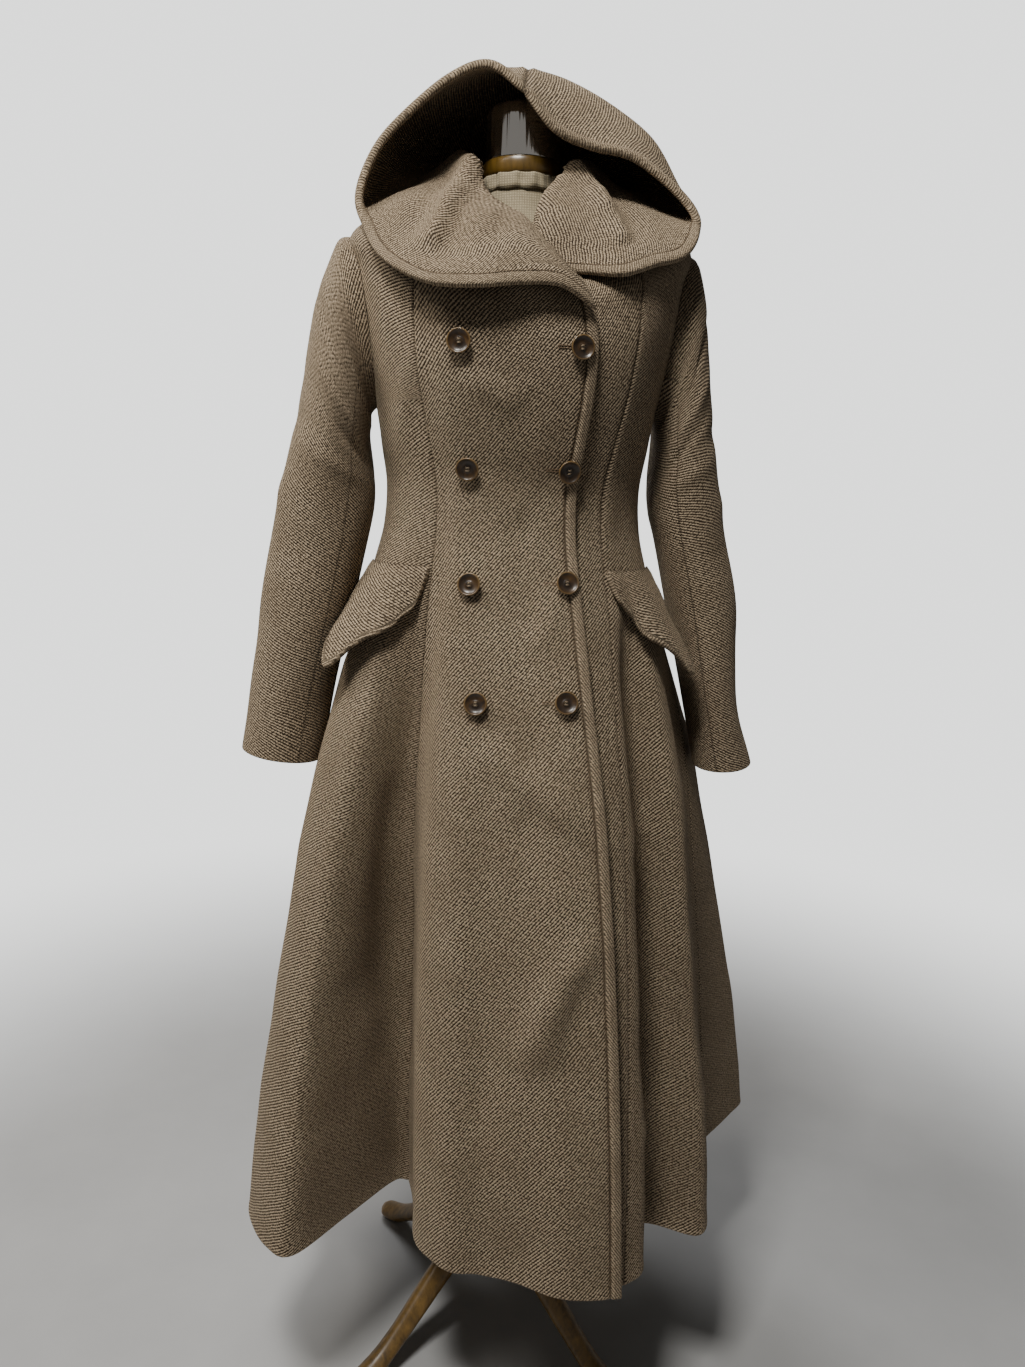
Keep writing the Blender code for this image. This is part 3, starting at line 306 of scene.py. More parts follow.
# The form's torso, as the body's rows
FORM_ROWS = (
    ("neck_top", 1.449, 1.449, 1.449, 0.044, 0.044, 0.044, 2.0, 0.0),
    ("neck", 1.428, 1.434, 1.438, 0.046, 0.046, 0.045, 2.0, 0.0),
    ("neck_base", 1.396, 1.424, 1.428, 0.058, 0.056, 0.052, 2.0, 0.0),
    ("slope", 1.335, 1.4146, 1.419, 0.115, 0.088, 0.076, 2.0, 0.0),
    ("shoulder", 1.3, 1.3885, 1.3895, 0.17, 0.11, 0.092, 2.2, 0.0),
    ("arm_plate_top", 1.282, 1.335, 1.338, 0.17, 0.124, 0.101, 2.4, 0.0),
    ("arm_plate", 1.256, 1.284, 1.29, 0.16, 0.129, 0.106, 2.4, 0.0),
    ("chest", 1.226, 1.234, 1.236, 0.156, 0.128, 0.105, 2.3, 0.0),
    ("underarm", 1.192, 1.192, 1.192, 0.151, 0.123, 0.1, 2.2, 0.0),
    ("ribs", 1.15, 1.15, 1.15, 0.141, 0.108, 0.09, 2.1, 0.0),
    ("waist", 1.104, 1.104, 1.104, 0.133, 0.097, 0.083, 2.1, 0.0),
    ("high_hip", 1.058, 1.058, 1.058, 0.137, 0.098, 0.089, 2.1, 0.0),
    ("hip", 1.0, 1.0, 1.0, 0.148, 0.106, 0.101, 2.1, 0.0),
    ("seat", 0.935, 0.935, 0.935, 0.156, 0.11, 0.11, 2.1, 0.0),
    ("base", 0.885, 0.885, 0.885, 0.152, 0.106, 0.106, 2.1, 0.0),
    ("base_edge", 0.872, 0.872, 0.872, 0.142, 0.097, 0.097, 2.1, 0.0),
)

BUTTONS = (
    ("button_right_1", -0.0713, 1.2546),
    ("button_left_1", 0.0531, 1.253),
    ("button_right_2", -0.0579, 1.1285),
    ("button_left_2", 0.0478, 1.1289),
    ("button_right_3", -0.0536, 0.9996),
    ("button_left_3", 0.0498, 1.0031),
    ("button_right_4", -0.0461, 0.8729),
    ("button_left_4", 0.0494, 0.8765),
)

LEG_ROWS = (
    ("root", 0.0422, 0.108, 0.018, 0.014),
    ("shoulder", 0.065, 0.106, 0.0185, 0.015),
    ("knee", 0.092, 0.092, 0.0175, 0.0155),
    ("arch", 0.123, 0.069, 0.0155, 0.015),
    ("shin", 0.156, 0.044, 0.0135, 0.014),
    ("ankle", 0.184, 0.026, 0.012, 0.0145),
    ("foot", 0.206, 0.014, 0.014, 0.0165),
    ("toe", 0.223, 0.01, 0.012, 0.016),
    ("tip", 0.232, 0.008, 0.008, 0.01),
)
FOOT_AZIMUTHS = (("front_left", -50.0), ("front_right", 220.0), ("back_right", 129.0), ("back_left", 39.0))


class Face(Enum):
    """Which side of the coat a crease lies on."""

    FRONT = "front"
    BACK = "back"
    LEFT = "left"
    RIGHT = "right"


class Edge(Enum):
    """How a border of a piece of cloth is finished."""

    SEAM = "seam"
    TURNED = "turned"
    BANDED = "banded"


# Soft creases: face, two ends across and up, half width, height (out is positive)
CREASES = (
    (Face.FRONT, -0.04, 0.828, 0.02, 0.786, 0.015, 0.003),
    (Face.FRONT, 0.01, 0.792, 0.098, 0.728, 0.013, 0.004),
    (Face.FRONT, 0.0, 0.752, 0.08, 0.7, 0.017, -0.0032),
    (Face.FRONT, 0.098, 0.64, 0.052, 0.588, 0.015, 0.0058),
    (Face.FRONT, 0.052, 0.588, 0.012, 0.49, 0.017, 0.006),
    (Face.FRONT, 0.086, 0.59, 0.058, 0.52, 0.016, -0.0054),
    (Face.FRONT, 0.058, 0.52, 0.094, 0.42, 0.02, -0.0046),
    (Face.FRONT, -0.06, 0.56, -0.04, 0.4, 0.024, -0.0036),
    (Face.FRONT, -0.01, 0.47, 0.01, 0.3, 0.024, 0.0034),
    (Face.FRONT, -0.052, 1.236, 0.03, 1.238, 0.013, -0.0018),
    (Face.FRONT, -0.064, 1.222, -0.01, 1.19, 0.011, 0.0018),
    (Face.FRONT, 0.048, 1.226, -0.004, 1.18, 0.012, -0.0016),
    (Face.FRONT, -0.05, 1.108, 0.004, 1.076, 0.012, 0.0015),
    (Face.FRONT, 0.04, 1.112, 0.0, 1.06, 0.011, -0.0015),
    (Face.FRONT, -0.046, 0.984, 0.02, 0.962, 0.012, -0.0018),
    (Face.FRONT, 0.046, 0.988, 0.014, 0.93, 0.012, 0.0018),
    (Face.FRONT, 0.044, 0.86, 0.014, 0.812, 0.013, -0.0022),
    (Face.FRONT, 0.094, 1.18, 0.104, 1.06, 0.008, 0.0014),
    (Face.FRONT, -0.122, 1.25, -0.14, 1.13, 0.01, 0.0016),
    (Face.FRONT, -0.16, 0.86, -0.19, 0.56, 0.018, 0.004),
    (Face.FRONT, -0.138, 0.76, -0.15, 0.5, 0.014, -0.0036),
    (Face.FRONT, -0.214, 0.64, -0.236, 0.38, 0.018, -0.0034),
    (Face.FRONT, 0.174, 0.8, 0.203, 0.52, 0.015, 0.004),
    (Face.FRONT, 0.21, 0.7, 0.24, 0.42, 0.017, -0.0032),
    (Face.FRONT, 0.144, 0.64, 0.152, 0.4, 0.013, 0.003),
    (Face.FRONT, 0.128, 0.95, 0.149, 0.7, 0.013, -0.006),
    (Face.FRONT, 0.149, 0.7, 0.161, 0.42, 0.015, -0.0085),
    (Face.BACK, -0.05, 1.33, 0.052, 1.322, 0.016, -0.0024),
    (Face.BACK, -0.09, 1.18, -0.04, 1.12, 0.012, 0.0018),
    (Face.BACK, 0.086, 1.176, 0.036, 1.116, 0.013, 0.0018),
    (Face.BACK, -0.07, 1.09, 0.072, 1.082, 0.012, -0.0022),
    (Face.BACK, -0.06, 0.86, -0.082, 0.52, 0.02, 0.004),
    (Face.BACK, 0.064, 0.82, 0.096, 0.48, 0.02, 0.0042),
    (Face.BACK, 0.01, 0.76, -0.006, 0.44, 0.018, -0.0036),
    (Face.BACK, -0.15, 0.7, -0.19, 0.4, 0.018, -0.0034),
    (Face.BACK, 0.16, 0.72, 0.204, 0.43, 0.018, -0.0034),
    (Face.LEFT, -0.01, 0.9, 0.02, 0.6, 0.018, 0.0036),
    (Face.LEFT, 0.06, 0.76, 0.09, 0.46, 0.018, -0.0034),
    (Face.LEFT, -0.06, 0.7, -0.072, 0.42, 0.016, 0.0034),
    (Face.RIGHT, 0.01, 0.89, 0.0, 0.58, 0.018, 0.0038),
    (Face.RIGHT, 0.07, 0.78, 0.084, 0.44, 0.019, -0.0036),
    (Face.RIGHT, -0.07, 0.66, -0.09, 0.42, 0.016, -0.0034),
)

# Creases of a sleeve: angle round it, place down it as a share, slant, half width, height
SLEEVE_CREASES = (
    (60.0, 0.3, 0.1, 0.012, 0.003),
    (80.0, 0.4, 0.06, 0.012, -0.0028),
    (40.0, 0.52, -0.09, 0.012, 0.0026),
    (110.0, 0.47, 0.1, 0.011, 0.003),
    (95.0, 0.56, -0.05, 0.011, -0.0026),
    (20.0, 0.66, 0.06, 0.015, -0.0022),
    (70.0, 0.74, 0.05, 0.014, 0.0022),
    (-40.0, 0.44, 0.08, 0.013, 0.0028),
    (-80.0, 0.52, -0.06, 0.013, -0.0026),
    (-110.0, 0.6, 0.05, 0.013, 0.0026),
    (130.0, 0.22, 0.1, 0.01, -0.0028),
    (0.0, 0.84, -0.04, 0.016, 0.0018),
)


# Folds of the hood beside its turned-down roll: two ends across and up, half width, height
HOOD_CREASES = (
    (-0.056, 1.462, -0.072, 1.42, 0.012, 0.011),
    (-0.072, 1.42, -0.092, 1.38, 0.012, 0.015),
    (-0.092, 1.38, -0.11, 1.345, 0.012, 0.013),
    (-0.082, 1.456, -0.102, 1.416, 0.012, -0.004),
    (-0.102, 1.416, -0.13, 1.36, 0.013, -0.004),
    (0.048, 1.46, 0.07, 1.43, 0.011, 0.01),
    (0.07, 1.43, 0.086, 1.392, 0.012, 0.013),
    (0.086, 1.392, 0.1, 1.36, 0.012, 0.01),
    (0.076, 1.452, 0.098, 1.424, 0.011, -0.003),
    (0.098, 1.424, 0.116, 1.388, 0.012, -0.003),
    (-0.02, 1.4, -0.044, 1.352, 0.01, -0.003),
    (-0.062, 1.392, -0.05, 1.34, 0.012, 0.003),
)
# Distances in from a border, in metres, where a piece has its close rows or columns
NEAR_OFFSETS = (0.0, 0.0006, 0.0014, 0.0024, 0.0040, 0.0060)
# How far in its even columns start
EVEN_FROM = 0.0085
# Columns across the front edge's topstitched band, those over the edge itself, and how many even
# columns they stand in for
BAND_OFFSETS = (0.0195, 0.0165, 0.0150, 0.0140, 0.0132, 0.0125, 0.0116, 0.0104, 0.0088)
BAND_END_OFFSETS = (0.0070, 0.0052, 0.0036, 0.0022, 0.0012, 0.0005, 0.0)
BAND_TAKES = 3
# Rows across the hood's topstitched band, and which of them the stitches follow
RIM_OFFSETS = (
    0.0175, 0.0160, 0.0148, 0.0139, 0.0131, 0.0123, 0.0112, 0.0095,
    0.0075, 0.0055, 0.0038, 0.0024, 0.0013, 0.0005, 0.0,
)
RIM_STITCH_ROW = 4
# How many ribs a turned band has for each one of the rest, and the cosine and sine of its lay
BAND_RIBS = 1.25
BAND_LAY = (0.8, 0.6)
# Half section of a button: radius and height above its back
BUTTON_PROFILE = (
    (0.0040, 0.0012),
    (0.0060, 0.0008),
    (0.0100, 0.0010),
    (0.0120, 0.0020),
    (0.0127, 0.0031),
    (0.0128, 0.0040),
    (0.0125, 0.0046),
    (0.0119, 0.0049),
    (0.0112, 0.0047),
    (0.0106, 0.0041),
    (0.0096, 0.0033),
    (0.0080, 0.0026),
    (0.0060, 0.0022),
    (0.0042, 0.0021),
    (0.0038, 0.0024),
    (0.0034, 0.0024),
)


def rgb(code: str) -> tuple[float, float, float, float]:
    """A linear colour with full alpha.

    Args:
        code: an sRGB colour as six hex digits.

    Returns:
        The four linear values that a shader's socket takes.
    """
    values = [int(code[k : k + 2], 16) / 255.0 for k in (0, 2, 4)]
    linear = [v / 12.92 if v <= 0.04045 else ((v + 0.055) / 1.055) ** 2.4 for v in values]
    return (linear[0], linear[1], linear[2], 1.0)


def node(
    tree: bpy.types.NodeTree, kind: str, inputs: dict | None = None, **settings: object
) -> bpy.types.Node:
    """Adds a node with its settings and its links.

    Args:
        tree: the node tree that gets it.
        kind: the node's type name.
        inputs: for each input's name or number, a value or another node's output socket.
        settings: attributes of the node.

    Returns:
        The new node.
    """
    made = tree.nodes.new(kind)
    for name, value in settings.items():
        setattr(made, name, value)
    for key, value in (inputs or {}).items():
        if isinstance(value, bpy.types.NodeSocket):
            tree.links.new(value, made.inputs[key])
        else:
            made.inputs[key].default_value = value
    return made


def new_material(name: str) -> tuple[bpy.types.Material, bpy.types.NodeTree, bpy.types.Node]:
    """A material with its tree and its Principled shader.

    Args:
        name: what the finish is.

    Returns:
        The material, its node tree and the shader.
    """
    material = bpy.data.materials.new(name)
    material.use_nodes = True
    tree = material.node_tree
    return material, tree, tree.nodes["Principled BSDF"]


@dataclass(frozen=True)
class WoolTwill:
    """Brushed wool twill, 2/2 in two shades of brown yarn.

    The light warp floats make broken diagonal ribs about 3 mm apart over darker grooves, and
    the brushed nap hides their edges, so the face is matt with a soft pale sheen at the rim.
    """

    light: str = "C0AC91"
    dark: str = "281F16"
    deep: str = "5A4A38"
    pitch: float = 0.0030
    float_length: float = 0.0036
    roughness: float = 0.93

    def build(self, name: str) -> bpy.types.Material:
        """The twill, read from the cloth's own flat measure in metres.

        Args:
            name: the material's name.

        Returns:
            The material.
        """
        material, tree, shader = new_material(name)
        flat = node(tree, "ShaderNodeUVMap", uv_map="weave").outputs["UV"]
        drift = node(
            tree, "ShaderNodeTexNoise", {"Vector": flat, "Scale": 38.0, "Detail": 2.0, "Roughness": 0.6}
        )
        centred = node(
            tree, "ShaderNodeVectorMath", {0: drift.outputs["Color"], 1: (0.5, 0.5, 0.5)},
            operation="SUBTRACT"
        )
        bend = node(tree, "ShaderNodeVectorMath", {0: centred.outputs[0], "Scale": 0.0030}, operation="SCALE")
        wander = node(tree, "ShaderNodeVectorMath", {0: flat, 1: bend.outputs[0]}, operation="ADD")
        parts = node(tree, "ShaderNodeSeparateXYZ", {0: wander.outputs[0]})
        count = node(
            tree, "ShaderNodeMath", {0: parts.outputs["X"], 1: self.pitch}, operation="DIVIDE"
        ).outputs[0]
        turn = node(tree, "ShaderNodeMath", {0: count, 1: 2 * math.pi}, operation="MULTIPLY").outputs[0]
        rib = node(tree, "ShaderNodeMath", {0: turn}, operation="SINE").outputs[0]
        which = node(tree, "ShaderNodeMath", {0: count}, operation="FLOOR").outputs[0]
        shift = node(tree, "ShaderNodeMath", {0: which, 1: 0.37}, operation="MULTIPLY").outputs[0]
        step = node(
            tree, "ShaderNodeMath", {0: parts.outputs["Y"], 1: self.float_length}, operation="DIVIDE"
        ).outputs[0]
        place = node(tree, "ShaderNodeMath", {0: step, 1: shift}, operation="ADD").outputs[0]
        angle = node(tree, "ShaderNodeMath", {0: place, 1: 2 * math.pi}, operation="MULTIPLY").outputs[0]
        dash = node(tree, "ShaderNodeMath", {0: angle}, operation="SINE").outputs[0]
        fibre = node(
            tree, "ShaderNodeTexNoise", {"Vector": flat, "Scale": 760.0, "Detail": 3.0, "Roughness": 0.7}
        )
        heather = node(
            tree, "ShaderNodeTexNoise", {"Vector": flat, "Scale": 330.0, "Detail": 2.0, "Roughness": 0.6}
        )
        mottle = node(
            tree, "ShaderNodeTexNoise", {"Vector": flat, "Scale": 17.0, "Detail": 5.0, "Roughness": 0.62}
        )
        weave = node(tree, "ShaderNodeMath", {0: dash, 1: 0.42, 2: rib}, operation="MULTIPLY_ADD").outputs[0]
        loose = node(
            tree, "ShaderNodeMapRange",
            {
                "Value": heather.outputs["Fac"], "From Min": 0.3, "From Max": 0.7, "To Min": -0.95,
                "To Max": 0.95
            }
        )
        yarn = node(tree, "ShaderNodeMath", {0: weave, 1: loose.outputs[0]}, operation="ADD").outputs[0]
        cover = node(
            tree,
            "ShaderNodeMapRange",
            {"Value": yarn, "From Min": -0.95, "From Max": 1.15, "To Min": 0.0, "To Max": 1.0},
            interpolation_type="SMOOTHSTEP",
        ).outputs[0]
        rubbed = node(tree, "ShaderNodeAttribute", attribute_name="worn").outputs["Fac"]
        share = node(tree, "ShaderNodeMath", {0: rubbed, 1: 0.3}, operation="MULTIPLY").outputs[0]
        shown = node(
            tree, "ShaderNodeMix", {"Factor": share, 2: cover, 3: 0.72}, data_type="FLOAT"
        ).outputs[0]
        colours = {"Factor": shown, 6: rgb(self.dark), 7: rgb(self.light)}
        face = node(tree, "ShaderNodeMix", colours, data_type="RGBA")
        patch = node(
            tree, "ShaderNodeMapRange",
            {
                "Value": mottle.outputs["Fac"], "From Min": 0.32, "From Max": 0.68, "To Min": 0.0,
                "To Max": 0.34
            }
        )
        colours = {"Factor": patch.outputs[0], 6: face.outputs[2], 7: rgb(self.deep)}
        toned = node(tree, "ShaderNodeMix", colours, data_type="RGBA")
        # Darker towards the dark yarn along seams and the band's stitched groove: painted shade of the dip
        # there, partly flattened nap.
        press_and_shade = node(tree, "ShaderNodeAttribute", attribute_name="press_and_shade").outputs["Fac"]
        colours = {"Factor": press_and_shade, 6: toned.outputs[2], 7: rgb(self.dark)}
        seam_shaded = node(tree, "ShaderNodeMix", colours, data_type="RGBA")
        fuzz = node(
            tree, "ShaderNodeMapRange",
            {"Value": fibre.outputs["Fac"], "From Min": 0.3, "From Max": 0.7, "To Min": 0.84, "To Max": 1.14}
        )
        napped = node(
            tree, "ShaderNodeVectorMath", {0: seam_shaded.outputs[2], "Scale": fuzz.outputs[0]}, operation="SCALE"
        )
        tree.links.new(napped.outputs[0], shader.inputs["Base Color"])
        raised = node(
            tree, "ShaderNodeMath", {0: fibre.outputs["Fac"], 1: 0.55, 2: cover}, operation="MULTIPLY_ADD"
        ).outputs[0]
        bump = node(tree, "ShaderNodeBump", {"Height": raised, "Strength": 0.9, "Distance": 0.0011})
        tree.links.new(bump.outputs[0], shader.inputs["Normal"])
        shader.inputs["Roughness"].default_value = self.roughness
        shader.inputs["Specular IOR Level"].default_value = 0.25
        shader.inputs["Sheen Weight"].default_value = 0.30
        shader.inputs["Sheen Roughness"].default_value = 0.45
        shader.inputs["Sheen Tint"].default_value = rgb("CBB79B")
        return material


@dataclass(frozen=True)
class PolishedHorn:
    """Natural horn, turned and polished: dark brown with paler streaks, glossy and slightly deep."""

    dark: str = "23170B"
    light: str = "4E3617"
    # The rim's paler colour is a painted highlight on its polished rounding.
    rim: str = "6B5330"

    def build(self) -> bpy.types.Material:
        """The horn of the buttons.

        Returns:
            The material.
        """
        material, tree, shader = new_material("polished_brown_horn")
        place = node(tree, "ShaderNodeTexCoord").outputs["Object"]
        streak = node(
            tree, "ShaderNodeTexNoise", {"Vector": place, "Scale": 62.0, "Detail": 4.0, "Distortion": 1.6}
        )
        fade = node(
            tree, "ShaderNodeMapRange",
            {"Value": streak.outputs["Fac"], "From Min": 0.38, "From Max": 0.72, "To Min": 0.0, "To Max": 1.0}
        )
        colours = {"Factor": fade.outputs[0], 6: rgb(self.dark), 7: rgb(self.light)}
        tone = node(tree, "ShaderNodeMix", colours, data_type="RGBA")
        # Paler on the raised rim: a painted highlight on its polished rounding.
        rim = node(tree, "ShaderNodeAttribute", attribute_name="rim").outputs["Fac"]
        colours = {"Factor": rim, 6: tone.outputs[2], 7: rgb(self.rim)}
        rim_highlighted = node(tree, "ShaderNodeMix", colours, data_type="RGBA")
        tree.links.new(rim_highlighted.outputs[2], shader.inputs["Base Color"])
        worn = node(tree, "ShaderNodeTexNoise", {"Vector": place, "Scale": 900.0, "Detail": 2.0})
        rough = node(
            tree, "ShaderNodeMapRange",
            {"Value": worn.outputs["Fac"], "From Min": 0.3, "From Max": 0.7, "To Min": 0.30, "To Max": 0.42}
        )
        tree.links.new(rough.outputs[0], shader.inputs["Roughness"])
        shader.inputs["IOR"].default_value = 1.54
        shader.inputs["Coat Weight"].default_value = 0.12
        shader.inputs["Coat Roughness"].default_value = 0.2
        return material


@dataclass(frozen=True)
class SewingThread:
    """Spun polyester thread: a fine two-ply twist with a low sheen."""

    name: str = "brown_sewing_thread"
    colour: str = "6B563F"

    def build(self) -> bpy.types.Material:
        """The thread.

        Returns:
            The material.
        """
        material, tree, shader = new_material(self.name)
        place = node(tree, "ShaderNodeTexCoord").outputs["Object"]
        ply = node(tree, "ShaderNodeTexNoise", {"Vector": place, "Scale": 1800.0, "Detail": 1.0})
        tone = node(
            tree, "ShaderNodeMapRange",
            {"Value": ply.outputs["Fac"], "From Min": 0.3, "From Max": 0.7, "To Min": 0.75, "To Max": 1.2}
        )
        base = node(tree, "ShaderNodeRGB")
        base.outputs[0].default_value = rgb(self.colour)
        shade = node(
            tree, "ShaderNodeVectorMath", {0: base.outputs[0], "Scale": tone.outputs[0]}, operation="SCALE"
        )
        tree.links.new(shade.outputs[0], shader.inputs["Base Color"])
        shader.inputs["Roughness"].default_value = 0.62
        return material


@dataclass(frozen=True)
class PlainLinen:
    """Unbleached linen, plain weave about 16 threads to the centimetre, dry and matt."""

    warp: str = "A99D82"
    weft: str = "7D715A"

    def build(self) -> bpy.types.Material:
        """The cover of the form. The weave is drawn at 1.4 mm, twice its size, so that it shows.

        Returns:
            The material.
        """
        material, tree, shader = new_material("unbleached_linen")
        place = node(tree, "ShaderNodeTexCoord").outputs["Object"]
        slub = node(
            tree, "ShaderNodeTexNoise", {"Vector": place, "Scale": 420.0, "Detail": 3.0, "Roughness": 0.7}
        )
        rows = node(
            tree, "ShaderNodeTexWave", {"Vector": place, "Scale": 114.0, "Distortion": 1.2, "Detail": 2.0},
            bands_direction="Z"
        )
        ends = node(
            tree, "ShaderNodeTexWave", {"Vector": place, "Scale": 114.0, "Distortion": 1.2, "Detail": 2.0},
            bands_direction="X"
        )
        grid = node(
            tree, "ShaderNodeMath", {0: rows.outputs["Fac"], 1: ends.outputs["Fac"]}, operation="MULTIPLY"
        ).outputs[0]
        mixed = node(tree, "ShaderNodeMath", {0: slub.outputs["Fac"], 1: grid}, operation="ADD").outputs[0]
        amount = node(
            tree, "ShaderNodeMapRange",
            {"Value": mixed, "From Min": 0.3, "From Max": 1.3, "To Min": 0.0, "To Max": 1.0}
        )
        colours = {"Factor": amount.outputs[0], 6: rgb(self.weft), 7: rgb(self.warp)}
        tone = node(tree, "ShaderNodeMix", colours, data_type="RGBA")
        tree.links.new(tone.outputs[2], shader.inputs["Base Color"])
        bump = node(tree, "ShaderNodeBump", {"Height": mixed, "Strength": 0.5, "Distance": 0.0005})
        tree.links.new(bump.outputs[0], shader.inputs["Normal"])
        shader.inputs["Roughness"].default_value = 0.92
        shader.inputs["Sheen Weight"].default_value = 0.1
        return material


@dataclass(frozen=True)
class WaxedBeech:
    """Beech stained olive brown and waxed: fine short flecks along the grain, satin."""

    name: str = "stained_waxed_beech"
    dark: str = "4A3717"
    light: str = "8A6A33"
    roughness: float = 0.42

    def build(self) -> bpy.types.Material:
        """The wood of the stand.

        Returns:
            The material.
        """
        material, tree, shader = new_material(self.name)
        place = node(tree, "ShaderNodeTexCoord").outputs["Object"]
        along = node(tree, "ShaderNodeMapping", {"Vector": place, "Scale": (1.0, 1.0, 0.22)})
        grain = node(
            tree, "ShaderNodeTexNoise",
            {"Vector": along.outputs[0], "Scale": 130.0, "Detail": 5.0, "Roughness": 0.6, "Distortion": 0.5}
        )
        broad = node(tree, "ShaderNodeTexNoise", {"Vector": place, "Scale": 16.0, "Detail": 2.0})
        mixed = node(
            tree, "ShaderNodeMath", {0: broad.outputs["Fac"], 1: 0.5, 2: grain.outputs["Fac"]},
            operation="MULTIPLY_ADD"
        ).outputs[0]
        amount = node(
            tree, "ShaderNodeMapRange",
            {"Value": mixed, "From Min": 0.5, "From Max": 1.0, "To Min": 0.0, "To Max": 1.0}
        )
        colours = {"Factor": amount.outputs[0], 6: rgb(self.dark), 7: rgb(self.light)}
        tone = node(tree, "ShaderNodeMix", colours, data_type="RGBA")
        tree.links.new(tone.outputs[2], shader.inputs["Base Color"])
        bump = node(
            tree, "ShaderNodeBump", {"Height": grain.outputs["Fac"], "Strength": 0.15, "Distance": 0.0004}
        )
        tree.links.new(bump.outputs[0], shader.inputs["Normal"])
        shader.inputs["Roughness"].default_value = self.roughness
        shader.inputs["Coat Weight"].default_value = 0.2
        shader.inputs["Coat Roughness"].default_value = 0.35
        return material


@dataclass(frozen=True)
class PolishedSteel:
    """Spun steel, nickel plated and polished: a mirror with faint turning lines and finger smears."""

    colour: str = "CFCBC7"

    def build(self) -> bpy.types.Material:
        """The neck cap's metal.

        Returns:
            The material.
        """
        material, tree, shader = new_material("polished_nickel_plate")
        place = node(tree, "ShaderNodeTexCoord").outputs["Object"]
        smear = node(tree, "ShaderNodeTexNoise", {"Vector": place, "Scale": 55.0, "Detail": 3.0})
        rough = node(
            tree, "ShaderNodeMapRange",
            {"Value": smear.outputs["Fac"], "From Min": 0.3, "From Max": 0.75, "To Min": 0.10, "To Max": 0.18}
        )
        tree.links.new(rough.outputs[0], shader.inputs["Roughness"])
        middle = node(
            tree, "ShaderNodeVectorMath", {0: place, 1: tuple(POLE_AT)}, operation="SUBTRACT"
        ).outputs[0]
        along = node(
            tree, "ShaderNodeVectorMath", {0: (0.0, 0.0, 1.0), 1: middle}, operation="CROSS_PRODUCT"
        ).outputs[0]
        tangent = node(tree, "ShaderNodeVectorMath", {0: along}, operation="NORMALIZE").outputs[0]
        tree.links.new(tangent, shader.inputs["Tangent"])
        shader.inputs["Anisotropic"].default_value = 0.85
        upright = node(tree, "ShaderNodeMapping", {"Vector": place, "Scale": (1.0, 1.0, 0.02)}).outputs[0]
        streak = node(tree, "ShaderNodeTexNoise", {"Vector": upright, "Scale": 170.0, "Detail": 1.5})
        bump = node(
            tree, "ShaderNodeBump", {"Height": streak.outputs["Fac"], "Strength": 0.6, "Distance": 0.0025}
        )
        tree.links.new(bump.outputs[0], shader.inputs["Normal"])
        shader.inputs["Base Color"].default_value = rgb(self.colour)
        shader.inputs["Metallic"].default_value = 1.0
        return material


def numbers(rows: tuple) -> np.ndarray:
    """The number columns of a table whose first column is a name."""
    return np.array([row[1:] for row in rows], float)


def spline(values: np.ndarray, at: np.ndarray) -> np.ndarray:
    """Catmull-Rom through rows of values.

    Args:
        values: a row to each whole number.
        at: fractional row numbers.

    Returns:
        The values there.
    """
    values = np.asarray(values, float)
    at = np.clip(np.asarray(at, float), 0.0, len(values) - 1.0)
    low = np.clip(np.floor(at).astype(int), 0, len(values) - 2)
    t = (at - low)[..., None]
    padded = np.vstack([(values[0] * 2.0 - values[1])[None], values, (values[-1] * 2.0 - values[-2])[None]])
    a, b, c, d = (padded[low + k] for k in range(4))
    return 0.5 * (2 * b + (c - a) * t + (2 * a - 5 * b + 4 * c - d) * t**2 + (3 * b - a - 3 * c + d) * t**3)


def along(keys: np.ndarray, values: np.ndarray, at: np.ndarray) -> np.ndarray:
    """A smooth curve through values at uneven keys, without overshoot at crests.

    Args:
        keys: where the values hold.
        values: a row to each key.
        at: where the curve is wanted.

    Returns:
        The values there.
    """
    keys = np.asarray(keys, float)
    values = np.asarray(values, float)
    at = np.clip(np.asarray(at, float), keys[0], keys[-1])
    step = np.diff(keys)[:, None]
    slope = np.diff(values, axis=0) / step
    inner = (slope[:-1] * step[1:] + slope[1:] * step[:-1]) / (step[1:] + step[:-1])
    tangent = np.vstack([slope[:1], inner, slope[-1:]])
    low = np.clip(np.searchsorted(keys, at, side="right") - 1, 0, len(keys) - 2)
    h = step[low]
    t = ((at - keys[low])[..., None]) / h
    return (
        (2 * t**3 - 3 * t**2 + 1) * values[low]
        + (t**3 - 2 * t**2 + t) * h * tangent[low]
        + (3 * t**2 - 2 * t**3) * values[low + 1]
        + (t**3 - t**2) * h * tangent[low + 1]
    )


def smooth(low: float, high: float, x: np.ndarray) -> np.ndarray:
    """A smooth step from 0 at low to 1 at high."""
    t = np.clip((np.asarray(x, float) - low) / (high - low), 0.0, 1.0)
    return t * t * (3 - 2 * t)


def unit(v: np.ndarray) -> np.ndarray:
    """Vectors scaled to length one."""
    return v / np.maximum(np.linalg.norm(v, axis=-1, keepdims=True), 1e-12)


def arc(grid: np.ndarray, axis: int) -> np.ndarray:
    """Distance from the first row or column of a grid of points, along that axis.

    Args:
        grid: rows of points.
        axis: 0 to go down the columns, 1 along the rows.

    Returns:
        A distance to each point.
    """
    step = np.linalg.norm(np.diff(grid, axis=axis), axis=-1)
    zero = np.zeros_like(np.take(step, [0], axis=axis))
    return np.concatenate([zero, np.cumsum(step, axis=axis)], axis=axis)


def normals(grid: np.ndarray) -> np.ndarray:
    """Unit normals of a grid of points: down the rows crossed with along them."""
    return unit(np.cross(np.gradient(grid, axis=0), np.gradient(grid, axis=1)))


